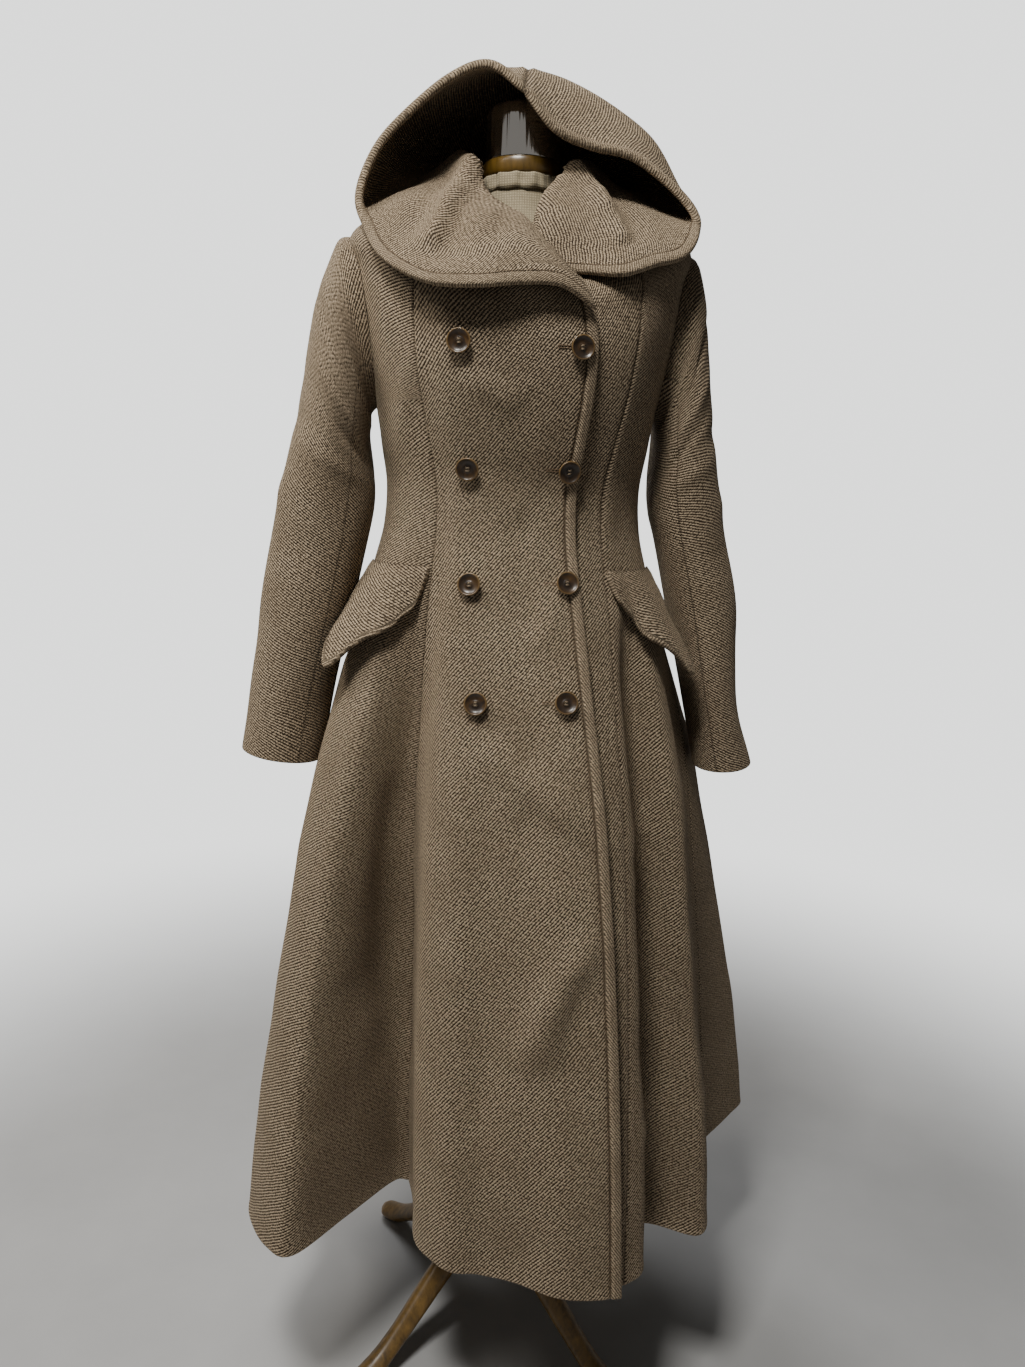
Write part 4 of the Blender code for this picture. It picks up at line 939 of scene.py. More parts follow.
def crease_line(at: np.ndarray, start: tuple, end: tuple, width: float) -> np.ndarray:
    """Share of a soft crease's height: 1 along its line, fading past its sides and ends.

    Args:
        at: points across and up.
        start: one end of the line.
        end: its other end.
        width: half width of the crease.

    Returns:
        A value to each point.
    """
    run = np.array(end) - np.array(start)
    here = at - np.array(start)
    share = here @ run / (run @ run)
    off = np.linalg.norm(here - np.clip(share, 0.0, 1.0)[..., None] * run, axis=-1)
    return smooth(-0.25, 0.3, share) * smooth(1.25, 0.7, share) * np.exp(-((off / width) ** 2))


@dataclass
class Drape:
    """The shape that the coat's body takes on the form, between the neck seam and the hem."""

    rows: np.ndarray = field(default_factory=lambda: numbers(BODY_ROWS))
    left: np.ndarray = field(default_factory=lambda: numbers(SIDE_FOLDS_LEFT))
    right: np.ndarray = field(default_factory=lambda: numbers(SIDE_FOLDS_RIGHT))
    over: np.ndarray = field(default_factory=lambda: numbers(OVER_FOLDS))
    under: np.ndarray = field(default_factory=lambda: numbers(UNDER_FOLDS))
    crease_rise: float = 1.7
    crease_spread: float = 1.25

    def radius(self, row: np.ndarray, theta: np.ndarray) -> np.ndarray:
        """Distance from the pole on a rounded section with two depths.

        Args:
            row: the section's number columns, one set to each angle.
            theta: angles round the pole, 0 in front.

        Returns:
            A radius to each angle.
        """
        sine = np.abs(np.sin(theta))
        cosine = np.abs(np.cos(theta))
        depth = np.where(np.cos(theta) >= 0, row[..., 4], row[..., 5])
        power = row[..., 6]
        return ((sine / row[..., 3]) ** power + (cosine / depth) ** power) ** (-1.0 / power)

    def height(self, row: np.ndarray, theta: np.ndarray) -> np.ndarray:
        """Height of a section at an angle.

        Args:
            row: the section's number columns, one set to each angle.
            theta: angles round the pole, 0 in front.

        Returns:
            A height to each angle.
        """
        turn = np.degrees(np.abs(theta))
        front = row[..., 0] + (row[..., 1] - row[..., 0]) * smooth(12, 82, turn)
        return np.where(turn <= 90, front, row[..., 1] + (row[..., 2] - row[..., 1]) * smooth(90, 165, turn))

    def hem(self, layer: str, degrees: np.ndarray) -> np.ndarray:
        """Plan point of the hem below a meridian.

        Args:
            layer: over, under or side.
            degrees: angles round the pole, 0 in front and 90 on the wearer's left.

        Returns:
            x and y for each angle.
        """
        degrees = (np.asarray(degrees, float) + 180.0) % 360.0 - 180.0
        on_left = along(self.left[:, 0], self.left[:, 1:], degrees)
        on_right = along(self.right[:, 0], self.right[:, 1:], -degrees)
        on_over = along(self.over[:, 0], self.over[:, 1:], degrees)
        on_under = along(self.under[:, 0], self.under[:, 1:], degrees)
        if layer == "side":
            front = np.where((degrees < 0)[..., None], on_over, on_under)
        else:
            front = on_over if layer == "over" else on_under
        front = np.where((degrees > PRINCESS_FRONT)[..., None], on_left, front)
        return np.where((degrees < -PRINCESS_FRONT)[..., None], on_right, front)

    def middle(self, layer: str, v: np.ndarray, degrees: np.ndarray) -> np.ndarray:
        """Points on the middle of the cloth, before creases.

        Args:
            layer: over, under or side.
            v: fractional rows of the body's table.
            degrees: angles round the pole.

        Returns:
            The points, with the pole at the origin.
        """
        theta = np.radians(degrees)
        row = spline(self.rows, v)
        r = self.radius(row, theta)
        point = np.stack([r * np.sin(theta), -r * np.cos(theta), self.height(row, theta)], -1)
        mean_r = self.radius(np.broadcast_to(self.rows[-1], theta.shape + self.rows[-1].shape), theta)
        mean = np.stack([mean_r * np.sin(theta), -mean_r * np.cos(theta)], -1)
        point[..., :2] += (self.hem(layer, degrees) - mean) * row[..., 7:8]
        return point

    def normal(self, layer: str, v: np.ndarray, degrees: np.ndarray) -> np.ndarray:
        """Outward normals of the middle surface.

        Args:
            layer: over, under or side.
            v: fractional rows of the body's table.
            degrees: angles round the pole.

        Returns:
            A unit vector to each point.
        """
        top = np.clip(v - 0.02, 0, len(self.rows) - 1)
        low = np.clip(v + 0.02, 0, len(self.rows) - 1)
        down = self.middle(layer, low, degrees) - self.middle(layer, top, degrees)
        across = self.middle(layer, v, degrees + 0.15) - self.middle(layer, v, degrees - 0.15)
        return unit(np.cross(down, across))

    def lift(self, degrees: np.ndarray) -> np.ndarray:
        """How far the right front lies outside the left one that it laps."""
        return (WALL + LAP_GAP) * smooth(-44.0, UNDER_EDGE - 4.0, degrees)

    def armhole(self, side: int, phi: np.ndarray) -> tuple[np.ndarray, np.ndarray]:
        """Points and normals on the armhole line: 0 at the shoulder, 90 in front, 180 below.

        Args:
            side: +1 for the wearer's left.
            phi: angles round the armhole, in degrees.

        Returns:
            The points and the normals.
        """
        radians = np.radians(np.asarray(phi, float))
        v = ARMHOLE_TOP + (ARMHOLE_BOTTOM - ARMHOLE_TOP) * (1 - np.cos(radians)) / 2
        degrees = side * (90.0 - ARMHOLE_HALF_ANGLE * np.sin(radians))
        return self.middle("side", v, degrees), self.normal("side", v, degrees)

    def over_crease(self, point: np.ndarray, from_edge: np.ndarray) -> np.ndarray:
        """Creases of the lapping front: none sinks into the layer below, and the free edge stays calm.

        Args:
            point: points of the right front.
            from_edge: how far each is from its free edge.

        Returns:
            The height at each point.
        """
        height = np.maximum(self.creases(point), -0.0012 - 0.003 * smooth(0.95, 0.6, point[..., 2]))
        return height * (0.15 + 0.85 * smooth(0.008, 0.060, from_edge))

    def creases(self, point: np.ndarray) -> np.ndarray:
        """Height of the listed creases at points of the body.

        Args:
            point: points on the middle of the cloth.

        Returns:
            A height to each point.
        """
        total = np.zeros(point.shape[:-1])
        towards = unit(point[..., :2] + 1e-9)
        look = {Face.FRONT: (0, -1), Face.BACK: (0, 1), Face.LEFT: (1, 0), Face.RIGHT: (-1, 0)}
        for face, a0, z0, a1, z1, width, rise in CREASES:
            axis = 0 if face in (Face.FRONT, Face.BACK) else 1
            facing = smooth(0.15, 0.6, towards @ np.array(look[face], float))
            seen = np.stack([point[..., axis], point[..., 2]], -1)
            share = crease_line(seen, (a0, z0), (a1, z1), self.crease_spread * width)
            total += self.crease_rise * rise * facing * share
        z = point[..., 2]
        turn = np.arctan2(point[..., 0], -point[..., 1])
        ease = smooth(0.95, 0.45, z)
        total += 0.0011 * ease * np.sin(9 * turn + 7 * z) * np.sin(5 * z + 2.0)
        total += 0.0007 * np.sin(17 * turn + 31 * z + 1.0) * np.sin(23 * z)
        return total


@dataclass
class ClothPiece:
    """One cut and sewn piece of cloth: a grid of points on its middle, walled and edged."""

    name: str
    node_name: str
    middle: np.ndarray
    normal: np.ndarray
    wall: float
    edges: tuple[Edge, Edge, Edge, Edge]
    grain: float
    held: str = "stretched"
    rests_on: tuple[str, ...] = ("form_torso",)
    cut_row: int | None = None
    band: float = EDGE_BAND

    def borders(self) -> list[tuple[Edge, np.ndarray]]:
        """The finish of each border, with how far every point of the grid is from it.

        Returns:
            A pair for the first, last, top and bottom borders.
        """
        across = arc(self.middle, 1)
        down = arc(self.middle, 0)
        return list(zip(self.edges, (across, across[:, -1:] - across, down, down[-1:] - down)))

    def thickness(self) -> tuple[np.ndarray, np.ndarray]:
        """Half walls outwards and inwards, with rounded, seamed and banded borders.

        Returns:
            Two arrays, a value to each point of the grid.
        """
        half = self.wall / 2
        out = np.full(self.middle.shape[:-1], half)
        back = out.copy()
        for kind, far in self.borders():
            if kind is Edge.SEAM:
                out -= 1.20 * half * np.exp(-((far / 0.0015) ** 2)) - 0.16 * half * np.exp(
                    -(((far - 0.006) / 0.003) ** 2)
                )
                continue
            if kind is Edge.BANDED:
                swell = smooth(self.band, self.band * 0.72, far) * 0.0034 * self.band / EDGE_BAND
                groove = 0.0016 * np.exp(-(((far - self.band) / 0.0012) ** 2))
                out += swell - groove
                back += swell * 0.3
            else:
                out += smooth(0.010, 0.004, far) * 0.0004
            bend = half * (2.2 if kind is Edge.BANDED else 1.2)
            curl = np.sqrt(np.clip(1 - (1 - np.clip(far / bend, 0, 1)) ** 2, 0.0, 1.0))
            out *= 0.18 + 0.82 * curl
            back *= 0.18 + 0.82 * curl
        return out, back

    def press_and_shade(self) -> np.ndarray:
        """How far the colour darkens beside a seam or a stitched groove, from 0 to 1: painted shade of the
        dip there, partly flattened nap.

        Returns:
            A value to each point of the grid.
        """
        total = np.zeros(self.middle.shape[:-1])
        # Painted shade along each seam's dip and along the band's stitched groove.
        for kind, far in self.borders():
            if kind is Edge.SEAM:
                total += 0.62 * np.exp(-((far / 0.0011) ** 2))
            elif kind is Edge.BANDED:
                total += 0.60 * np.exp(-(((far - self.band) / 0.0011) ** 2))
        return np.clip(total, 0.0, 0.9)

    def worn(self) -> np.ndarray:
        """How far the nap is rubbed pale along a folded edge, from 0 to 1.

        Returns:
            A value to each point of the grid.
        """
        total = np.zeros(self.middle.shape[:-1])
        for kind, far in self.borders():
            if kind is not Edge.SEAM:
                total = np.maximum(total, np.exp(-((far / 0.0028) ** 2)))
            if kind is Edge.BANDED:
                total = np.maximum(total, 0.75 * smooth(self.band, self.band * 0.8, far))
        return total

    def band_mask(self) -> np.ndarray:
        """Which points of the grid lie on a turned band, where the cloth's lay crosses the rest.

        Returns:
            True on the bands.
        """
        mask = np.zeros(self.middle.shape[:-1], bool)
        for kind, far in self.borders():
            if kind is Edge.BANDED:
                mask |= far < self.band - 0.0004
        return mask

    def flat_measure(self) -> tuple[np.ndarray, np.ndarray, float, float, float]:
        """The piece laid flat: two coordinates in metres, its width, length and area."""
        across = arc(self.middle, 1)
        mid = across[:, across.shape[1] // 2][:, None]
        down = arc(self.middle, 0).mean(axis=1)[:, None]
        u = across - mid
        v = np.repeat(-down, across.shape[1], axis=1)
        if self.cut_row is not None:
            u = np.repeat(u[self.cut_row : self.cut_row + 1], len(u), axis=0)
            v = -arc(self.middle, 0)
        rows = np.gradient(self.middle, axis=0)
        cols = np.gradient(self.middle, axis=1)
        facing = (np.cross(cols, -rows) * self.normal).sum(-1).mean()
        if facing < 0:
            u = -u
        a = self.middle[:-1, :-1]
        b = self.middle[:-1, 1:]
        c = self.middle[1:, 1:]
        d = self.middle[1:, :-1]
        area = 0.5 * (
            np.linalg.norm(np.cross(b - a, c - a), axis=-1) + np.linalg.norm(np.cross(c - a, d - a), axis=-1)
        ).sum()
        width = float(across[:, -1].max() if self.cut_row is None else across[self.cut_row, -1])
        length = float(arc(self.middle, 0)[-1].max())
        return u, v, width, length, float(area)

    def build(self, material: bpy.types.Material) -> bpy.types.Object:
        """Makes the piece's mesh, lays its weave and hides the solid that it stands for.

        Args:
            material: the cloth's finish.

        Returns:
            The new object.
        """
        out, back = self.thickness()
        outer = self.middle + self.normal * out[..., None] + POLE_AT
        inner = self.middle - self.normal * back[..., None] + POLE_AT
        rows, cols = out.shape
        count = rows * cols
        points = np.concatenate([outer.reshape(-1, 3), inner.reshape(-1, 3)])
        index = np.arange(count).reshape(rows, cols)
        quads = np.stack([index[:-1, :-1], index[:-1, 1:], index[1:, 1:], index[1:, :-1]], -1).reshape(-1, 4)
        ring = np.concatenate([index[0, :-1], index[:-1, -1], index[-1, :0:-1], index[:0:-1, 0]])
        after = np.roll(ring, -1)
        border = np.stack([after, ring, ring + count, after + count], -1)
        faces = np.concatenate([quads, quads[:, ::-1] + count, border])
        cross = np.cross(np.diff(outer[:-1], axis=1), np.diff(outer[:, :-1], axis=0))
        if (cross * self.normal[:-1, :-1]).sum() < 0:
            faces = faces[:, ::-1]
        u, v, width, length, area = self.flat_measure()
        turn = math.radians(self.grain)
        x = -math.sin(turn) * u + math.cos(turn) * v
        y = math.cos(turn) * u + math.sin(turn) * v
        folded = self.band_mask()
        x = np.where(folded, BAND_RIBS * (BAND_LAY[0] * u + BAND_LAY[1] * v), x)
        y = np.where(folded, BAND_RIBS * (BAND_LAY[0] * v - BAND_LAY[1] * u), y)
        weave = np.tile(np.stack([x, y], -1).reshape(-1, 2), (2, 1))
        obj = mesh_object(self.name, points, faces, material)
        layer = obj.data.uv_layers.new(name="weave")
        loops = np.empty(len(obj.data.loops), np.int32)
        obj.data.loops.foreach_get("vertex_index", loops)
        layer.data.foreach_set("uv", weave[loops].astype(np.float32).ravel())
        # The painted shade of the seams and the band's groove, read by the wool's colour.
        press_and_shade = obj.data.attributes.new("press_and_shade", "FLOAT", "POINT")
        press_and_shade.data.foreach_set("value", np.tile(self.press_and_shade().ravel(), 2).astype(np.float32))
        worn = obj.data.attributes.new("worn", "FLOAT", "POINT")
        worn.data.foreach_set("value", np.tile(self.worn().ravel(), 2).astype(np.float32))
        obj.data.set_sharp_from_angle(angle=math.radians(70))
        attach(obj, "root")
        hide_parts(self.node_name)
        LOG.info("%s: %.0f by %.0f mm flat, %.3f square metres", self.name, width * 1000, length * 1000, area)
        return obj


def mesh_object(
    name: str, points: np.ndarray, faces: np.ndarray | list, material: bpy.types.Material
) -> bpy.types.Object:
    """A smooth-shaded mesh object at the origin.

    Args:
        name: the piece's name.
        points: its vertices in place.
        faces: vertex numbers of each face.
        material: its finish.

    Returns:
        The object, linked to the scene.
    """
    mesh = bpy.data.meshes.new(name)
    mesh.from_pydata(np.asarray(points, float).tolist(), [], [list(map(int, f)) for f in faces])
    mesh.update()
    mesh.shade_smooth()
    mesh.materials.append(material)
    obj = bpy.data.objects.new(name, mesh)
    bpy.context.scene.collection.objects.link(obj)
    return obj


def edge_shares(width: float, step: float, most: int | None = None) -> np.ndarray:
    """Places across a piece: close together near both borders and even in between.

    Args:
        width: the piece's width in metres.
        step: the wanted step in metres.
        most: a fixed number of even steps, where every row needs the same.

    Returns:
        Shares from 0 to 1.
    """
    near = np.array(NEAR_OFFSETS) / width
    count = most or max(4, int(round(width / step)))
    inner = np.linspace(EVEN_FROM / width, 1 - EVEN_FROM / width, count)
    return np.concatenate([near, inner, 1 - near[::-1]])


@dataclass
class CoatBody:
    """The eight panels between the neck seam, the armholes and the hem."""

    drape: Drape
    step: float = 0.0062
    armhole_steps: int = 44
    coarse_columns: int = 40
    least_width: float = 0.022
    band_clear: float = 0.022

    def rows(self) -> np.ndarray:
        """Row numbers down the body: even in height, and by equal angles through the armholes.

        Returns:
            Fractional rows of the body's table.
        """
        swing = ARMHOLE_TOP + (ARMHOLE_BOTTOM - ARMHOLE_TOP) * (
            1 - np.cos(np.linspace(0, math.pi, self.armhole_steps))
        ) / 2
        z = self.drape.rows[:, 0]
        skirt = np.arange(z[6] - self.step, z[-1] + 0.008, -self.step)
        below = np.interp(-skirt, -z, np.arange(len(z)))
        hem = np.interp(-(z[-1] + np.array(NEAR_OFFSETS[::-1])), -z, np.arange(len(z)))
        neck = np.array([0.0, 0.02, 0.05, 0.09, 0.15])
        return np.concatenate([neck, np.linspace(0.25, 1.9, 11), swing, below, hem])

    def panel(
        self, name: str, layer: str, starts: np.ndarray, ends: np.ndarray, v: np.ndarray, edges: tuple,
        grain: float
    ) -> ClothPiece:
        """One panel between two lines of angles.

        Args:
            name: the CAD node that it stands for.
            layer: over, under or side.
            starts: the angle of one border on each row.
            ends: the angle of the other.
            v: the rows.
            edges: finishes of the first, last, top and bottom borders.
            grain: angle of the ribs from level, in degrees.

        Returns:
            The piece.
        """
        starts = np.broadcast_to(starts, v.shape).astype(float)
        ends = np.broadcast_to(ends, v.shape).astype(float)
        coarse = starts[:, None] + (ends - starts)[:, None] * np.linspace(0, 1, self.coarse_columns)[None]
        coarse_v = np.repeat(v[:, None], self.coarse_columns, 1)
        width = arc(self.drape.middle(layer, coarse_v, coarse), 1)
        most = int(round(width[:, -1].max() / self.step))
        degrees = []
        for k in range(len(v)):
            offsets = edge_shares(max(width[k, -1], self.least_width), self.step, most) * width[k, -1]
            degrees.append(np.interp(offsets, width[k], coarse[k]))
        degrees = np.array(degrees)
        if Edge.BANDED in edges:
            degrees = self.add_band(width, coarse, degrees)
        grid_v = np.repeat(v[:, None], degrees.shape[1], axis=1)
        middle = self.drape.middle(layer, grid_v, degrees)
        normal = self.drape.normal(layer, grid_v, degrees)
        if layer == "over":
            middle = middle + normal * self.drape.lift(degrees)[..., None]
        crease = self.drape.creases(middle)
        if layer == "under":
            crease = np.minimum(crease, 0.0) - 0.0004
        if layer == "over":
            crease = self.drape.over_crease(middle, arc(middle, 1)[:, -1:] - arc(middle, 1))
        middle = middle + normal * crease[..., None]
        for edge, near, kind in ((0, 1, edges[0]), (-1, -2, edges[1])):
            if kind is Edge.SEAM:
                middle[:, edge] -= unit(middle[:, near] - middle[:, edge]) * SEAM_TUCK
        return ClothPiece(f"{name}_cloth", name, middle, normal, WALL, edges, grain)

    def add_band(self, width: np.ndarray, coarse: np.ndarray, degrees: np.ndarray) -> np.ndarray:
        """Puts close columns over the topstitched band at the free edge.

        Args:
            width: distance along each row of the coarse grid.
            coarse: its angles.
            degrees: the columns so far.

        Returns:
            The columns with the band's own.
        """
        out = []
        for w, c, row in zip(width, coarse, degrees):
            keep = row[: -(len(NEAR_OFFSETS) + BAND_TAKES)]
            limit = np.interp(w[-1] - self.band_clear, w, c)
            keep = keep[0] + (keep - keep[0]) * (limit - keep[0]) / (keep[-1] - keep[0])
            band = np.interp(w[-1] - np.array(BAND_OFFSETS), w, c)
            last = np.interp(w[-1] - np.array(BAND_END_OFFSETS), w, c)
            out.append(np.concatenate([keep, band, last]))
        return np.array(out)

    def build(self, cloth: bpy.types.Material) -> None:
        """Makes the eight panels.

        Args:
            cloth: the cloth's finish.
        """
        v = self.rows()
        share = (v - ARMHOLE_TOP) / (ARMHOLE_BOTTOM - ARMHOLE_TOP)
        arm = ARMHOLE_HALF_ANGLE * np.sqrt(np.clip(1 - (2 * share - 1) ** 2, 0, None))
        free = np.interp(v, *np.array(OVER_EDGE).T)
        seam, turned, banded = Edge.SEAM, Edge.TURNED, Edge.BANDED
        pieces = [
            self.panel(
                "front_right_centre", "over", -PRINCESS_FRONT, free, v, (seam, banded, seam, turned), 50.0
            ),
            self.panel(
                "front_left_centre", "under", UNDER_EDGE, PRINCESS_FRONT, v, (turned, seam, seam, turned),
                50.0
            ),
        ]
        for side, word in ((1, "left"), (-1, "right")):
            finish = (seam, seam, seam, turned)
            lean = 30.0 if side < 0 else 36.0
            pieces.append(self.panel(
                f"front_{word}_side", "side", side * PRINCESS_FRONT, side * (90.0 - arm), v, finish, lean
            ))
            pieces.append(self.panel(
                f"back_{word}_side", "side", side * (90.0 + arm), side * PRINCESS_BACK, v, finish, 38.0
            ))
            pieces.append(
                self.panel(f"back_{word}_centre", "side", side * PRINCESS_BACK, side * 180.0, v, finish, 44.0)
            )
        for piece in pieces:
            piece.build(cloth)


@dataclass
class Sleeves:
    """The two-piece sleeves, set in at the armholes and open at the cuffs."""

    drape: Drape
    step: float = 0.0065
    girth: float = 0.42
    length: float = 0.60
    slant_reach: float = 0.10

    def rings(self, side: int, table: tuple, phi: np.ndarray) -> np.ndarray:
        """The sleeve's own rings, one to each row of its table, after the armhole line.

        Args:
            side: +1 for the wearer's left.
            table: the sleeve's rings.
            phi: angles round the sleeve, in degrees.

        Returns:
            A ring of points for the armhole and for each row.
        """
        at, normal = self.drape.armhole(side, phi)
        clear = WALL / 2 * np.abs(normal[:, 0]) - 0.0012
        rings = [at + np.stack([side * clear, 0 * clear, 0 * clear], -1)]
        radians = np.radians(phi)
        for outer_x, outer_z, inner_x, inner_z, middle_y, half_depth in numbers(table):
            middle = np.array([side * (outer_x + inner_x) / 2, middle_y, (outer_z + inner_z) / 2])
            reach = np.array([side * (outer_x - inner_x) / 2, 0.0, (outer_z - inner_z) / 2])
            depth = np.array([0.0, -half_depth, 0.0])
            rings.append(middle + np.cos(radians)[:, None] * reach + np.sin(radians)[:, None] * depth)
        return np.array(rings)

    def panel(self, word: str, half: str, side: int, table: tuple, start: float, end: float) -> ClothPiece:
        """One of the two pieces of a sleeve.

        Args:
            word: left or right.
            half: upper or under.
            side: +1 for the wearer's left.
            table: the sleeve's rings.
            start: angle of its first border.
            end: angle of its other border.

        Returns:
            The piece.
        """
        girth = self.girth * (end - start) / 360.0
        share = edge_shares(girth, self.step)
        phi = start + (end - start) * share
        rings = self.rings(side, table, phi)
        count = int(self.length / self.step)
        rows = np.concatenate([
            np.linspace(0, 1, 8), np.linspace(1.1, len(table) - 0.12, count),
            len(table) - np.array([0.09, 0.06, 0.035, 0.018, 0.008, 0.0])
        ])
        flat = rings.reshape(len(rings), -1)
        grid = spline(flat, rows).reshape(len(rows), len(phi), 3)
        before = spline(self.rings(side, table, phi - 2.0).reshape(len(rings), -1), rows).reshape(grid.shape)
        after = spline(self.rings(side, table, phi + 2.0).reshape(len(rings), -1), rows).reshape(grid.shape)
        normal = np.cross(np.gradient(grid, axis=0), after - before) * side
        normal[0, :, 0] = 0.0
        normal = unit(normal)
        place = rows[:, None] / len(table)
        down = arc(grid, 0)
        rise = np.zeros(down.shape)
        for where, at, slant, wide, high in SLEEVE_CREASES:
            away = (phi[None] - where + 180.0) % 360.0 - 180.0
            line = (place - at) * self.length - slant * np.radians(away) * self.slant_reach
            rise += high * np.exp(-((line / wide) ** 2)) * np.exp(-((away / 38.0) ** 2))
        rise += 0.0012 * np.sin(np.radians(phi)[None] * 3 + place * 14) * smooth(0.12, 0.3, place)
        pucker = 0.0011 * np.sin(np.radians(phi)[None] * 26.0) * np.exp(
            -(((down - 0.010) / 0.010) ** 2)
        ) * smooth(115, 60, np.abs(phi))[None]
        grid = grid + normal * (
            (rise * smooth(0.04, 0.16, place) * smooth(1.0, 0.9, place)) + pucker
        )[..., None]
        edges = (Edge.SEAM, Edge.SEAM, Edge.SEAM, Edge.TURNED)
        name = f"sleeve_{word}_{half}"
        return ClothPiece(
            f"{name}_cloth", name, grid, normal, WALL, edges, 26.0, "hung", (f"front_{word}_side_cloth",)
        )

    def build(self, cloth: bpy.types.Material) -> None:
        """Makes the four sleeve pieces.

        Args:
            cloth: the cloth's finish.
        """
        for side, word, table in ((1, "left", SLEEVE_LEFT), (-1, "right", SLEEVE_RIGHT)):
            self.panel(word, "under", side, table, 120.0, 240.0).build(cloth)
            self.panel(word, "upper", side, table, -120.0, 120.0).build(cloth)


@dataclass
class Hood:
    """The doubled hood, open at the face, its right half lapped over its left in front."""

    drape: Drape
    columns: int = 96
    rows: int = 60
    fine_rows: int = 161

    def surface(self, table: tuple, layer: str) -> np.ndarray:
        """Middle surface of half the hood.

        Args:
            table: its stations round the neck.
            layer: the layer of the body that it is sewn to.

        Returns:
            A grid of points: rows run from the neck seam to the rim.
        """
        at = np.linspace(0, len(table) - 1, self.columns)
        angles = np.array([row[1] for row in table])
        points = np.array([[np.array(p) for p in row[2:]] for row in table])
        neck = self.drape.middle(layer, np.zeros(len(table)), angles)
        if layer == "over":
            neck = neck + self.drape.normal(
                layer, np.zeros(len(table)), angles
            ) * self.drape.lift(angles)[:, None]
        base = neck + np.array([0.0, 0.0 if layer == "over" else 0.0012, -0.0004])
        chain = np.concatenate([base[:, None], points], axis=1)
        wide = np.array([spline(chain[:, k], at) for k in range(chain.shape[1])])
        flat = wide.reshape(len(wide), -1)
        return spline(
            flat, np.linspace(0, len(wide) - 1, self.fine_rows)
        ).reshape(self.fine_rows, self.columns, 3)

    def respace(self, fine: np.ndarray) -> np.ndarray:
        """Rows at even steps down each strip, close together at the neck and at the rim.

        Args:
            fine: the hood's surface, finely spaced.

        Returns:
            The grid of points.
        """
        length = arc(fine, 0)
        rim = np.array(RIM_OFFSETS)
        near = np.array(NEAR_OFFSETS[:-1])
        grid = np.empty((len(near) + self.rows + len(rim), fine.shape[1], 3))
        for j in range(fine.shape[1]):
            total = length[-1, j]
            scale = min(1.0, total * 0.5 / RIM_OFFSETS[0])
            want = np.concatenate([
                near * scale, np.linspace(0.0065 * scale, total - 0.0205 * scale, self.rows),
                total - rim * scale
            ])
            for k in range(3):
                grid[:, j, k] = np.interp(want, length[:, j], fine[:, j, k])
        return grid

    def folds(self, grid: np.ndarray, normal: np.ndarray) -> np.ndarray:
        """How far the listed folds move each point, towards the open face.

        Args:
            grid: the hood's points.
            normal: their normals.

        Returns:
            A move to each point.
        """
        height = np.zeros(grid.shape[:-1])
        for x0, z0, x1, z1, width, rise in HOOD_CREASES:
            height += rise * crease_line(grid[..., ::2], (x0, z0), (x1, z1), width)
        height *= smooth(0.02, -0.02, grid[..., 1]) * np.sign(normal @ np.array([0.0, -0.8, 0.6]))
        return normal * height[..., None]

    def half(self, name: str, table: tuple, layer: str, flip: float) -> ClothPiece:
        """Half of the hood as a piece of cloth.

        Args:
            name: the CAD node that it stands for.
            table: its stations round the neck.
            layer: the layer of the body that it is sewn to.
            flip: -1 where the grid's normals point inwards.

        Returns:
            The piece.
        """
        grid = self.respace(self.surface(table, layer))
        grid = grid + self.folds(grid, normals(grid) * flip)
        normal = normals(grid) * flip
        away = arc(grid, 0)
        swell = np.sin(grid[..., 0] * 38 + grid[..., 2] * 21) * np.sin(grid[..., 1] * 30 + 1.2)
        grid = grid + normal * (
            0.0011 * swell * smooth(0.01, 0.05, away) * smooth(0.0, 0.03, away[-1:] - away)
        )[..., None]
        grid[:, -1] -= unit(grid[:, -2] - grid[:, -1]) * SEAM_TUCK
        edges = (Edge.TURNED, Edge.SEAM, Edge.SEAM, Edge.BANDED)
        return ClothPiece(
            f"{name}_cloth", name, grid, normal, HOOD_WALL, edges, -72.0, "folded",
            ("front_right_centre_cloth", "form_torso")
        )

    def build(self, cloth: bpy.types.Material) -> None:
        """Makes the two halves, with one direction shared along the centre seam.

        Args:
            cloth: the cloth's finish.
        """
        right = self.half("hood_right", HOOD_RIGHT, "over", 1.0)
        left = self.half("hood_left", HOOD_LEFT, "under", -1.0)
        facing = np.sign((right.normal[:, -1] * left.normal[:, -1]).sum(-1, keepdims=True))
        seam = right.normal[:, -1] + facing * left.normal[:, -1]
        seam[:, 0] = 0.0
        seam = unit(seam)
        right.normal[:, -1] = seam
        left.normal[:, -1] = facing * seam
        right.build(cloth)
        left.build(cloth)


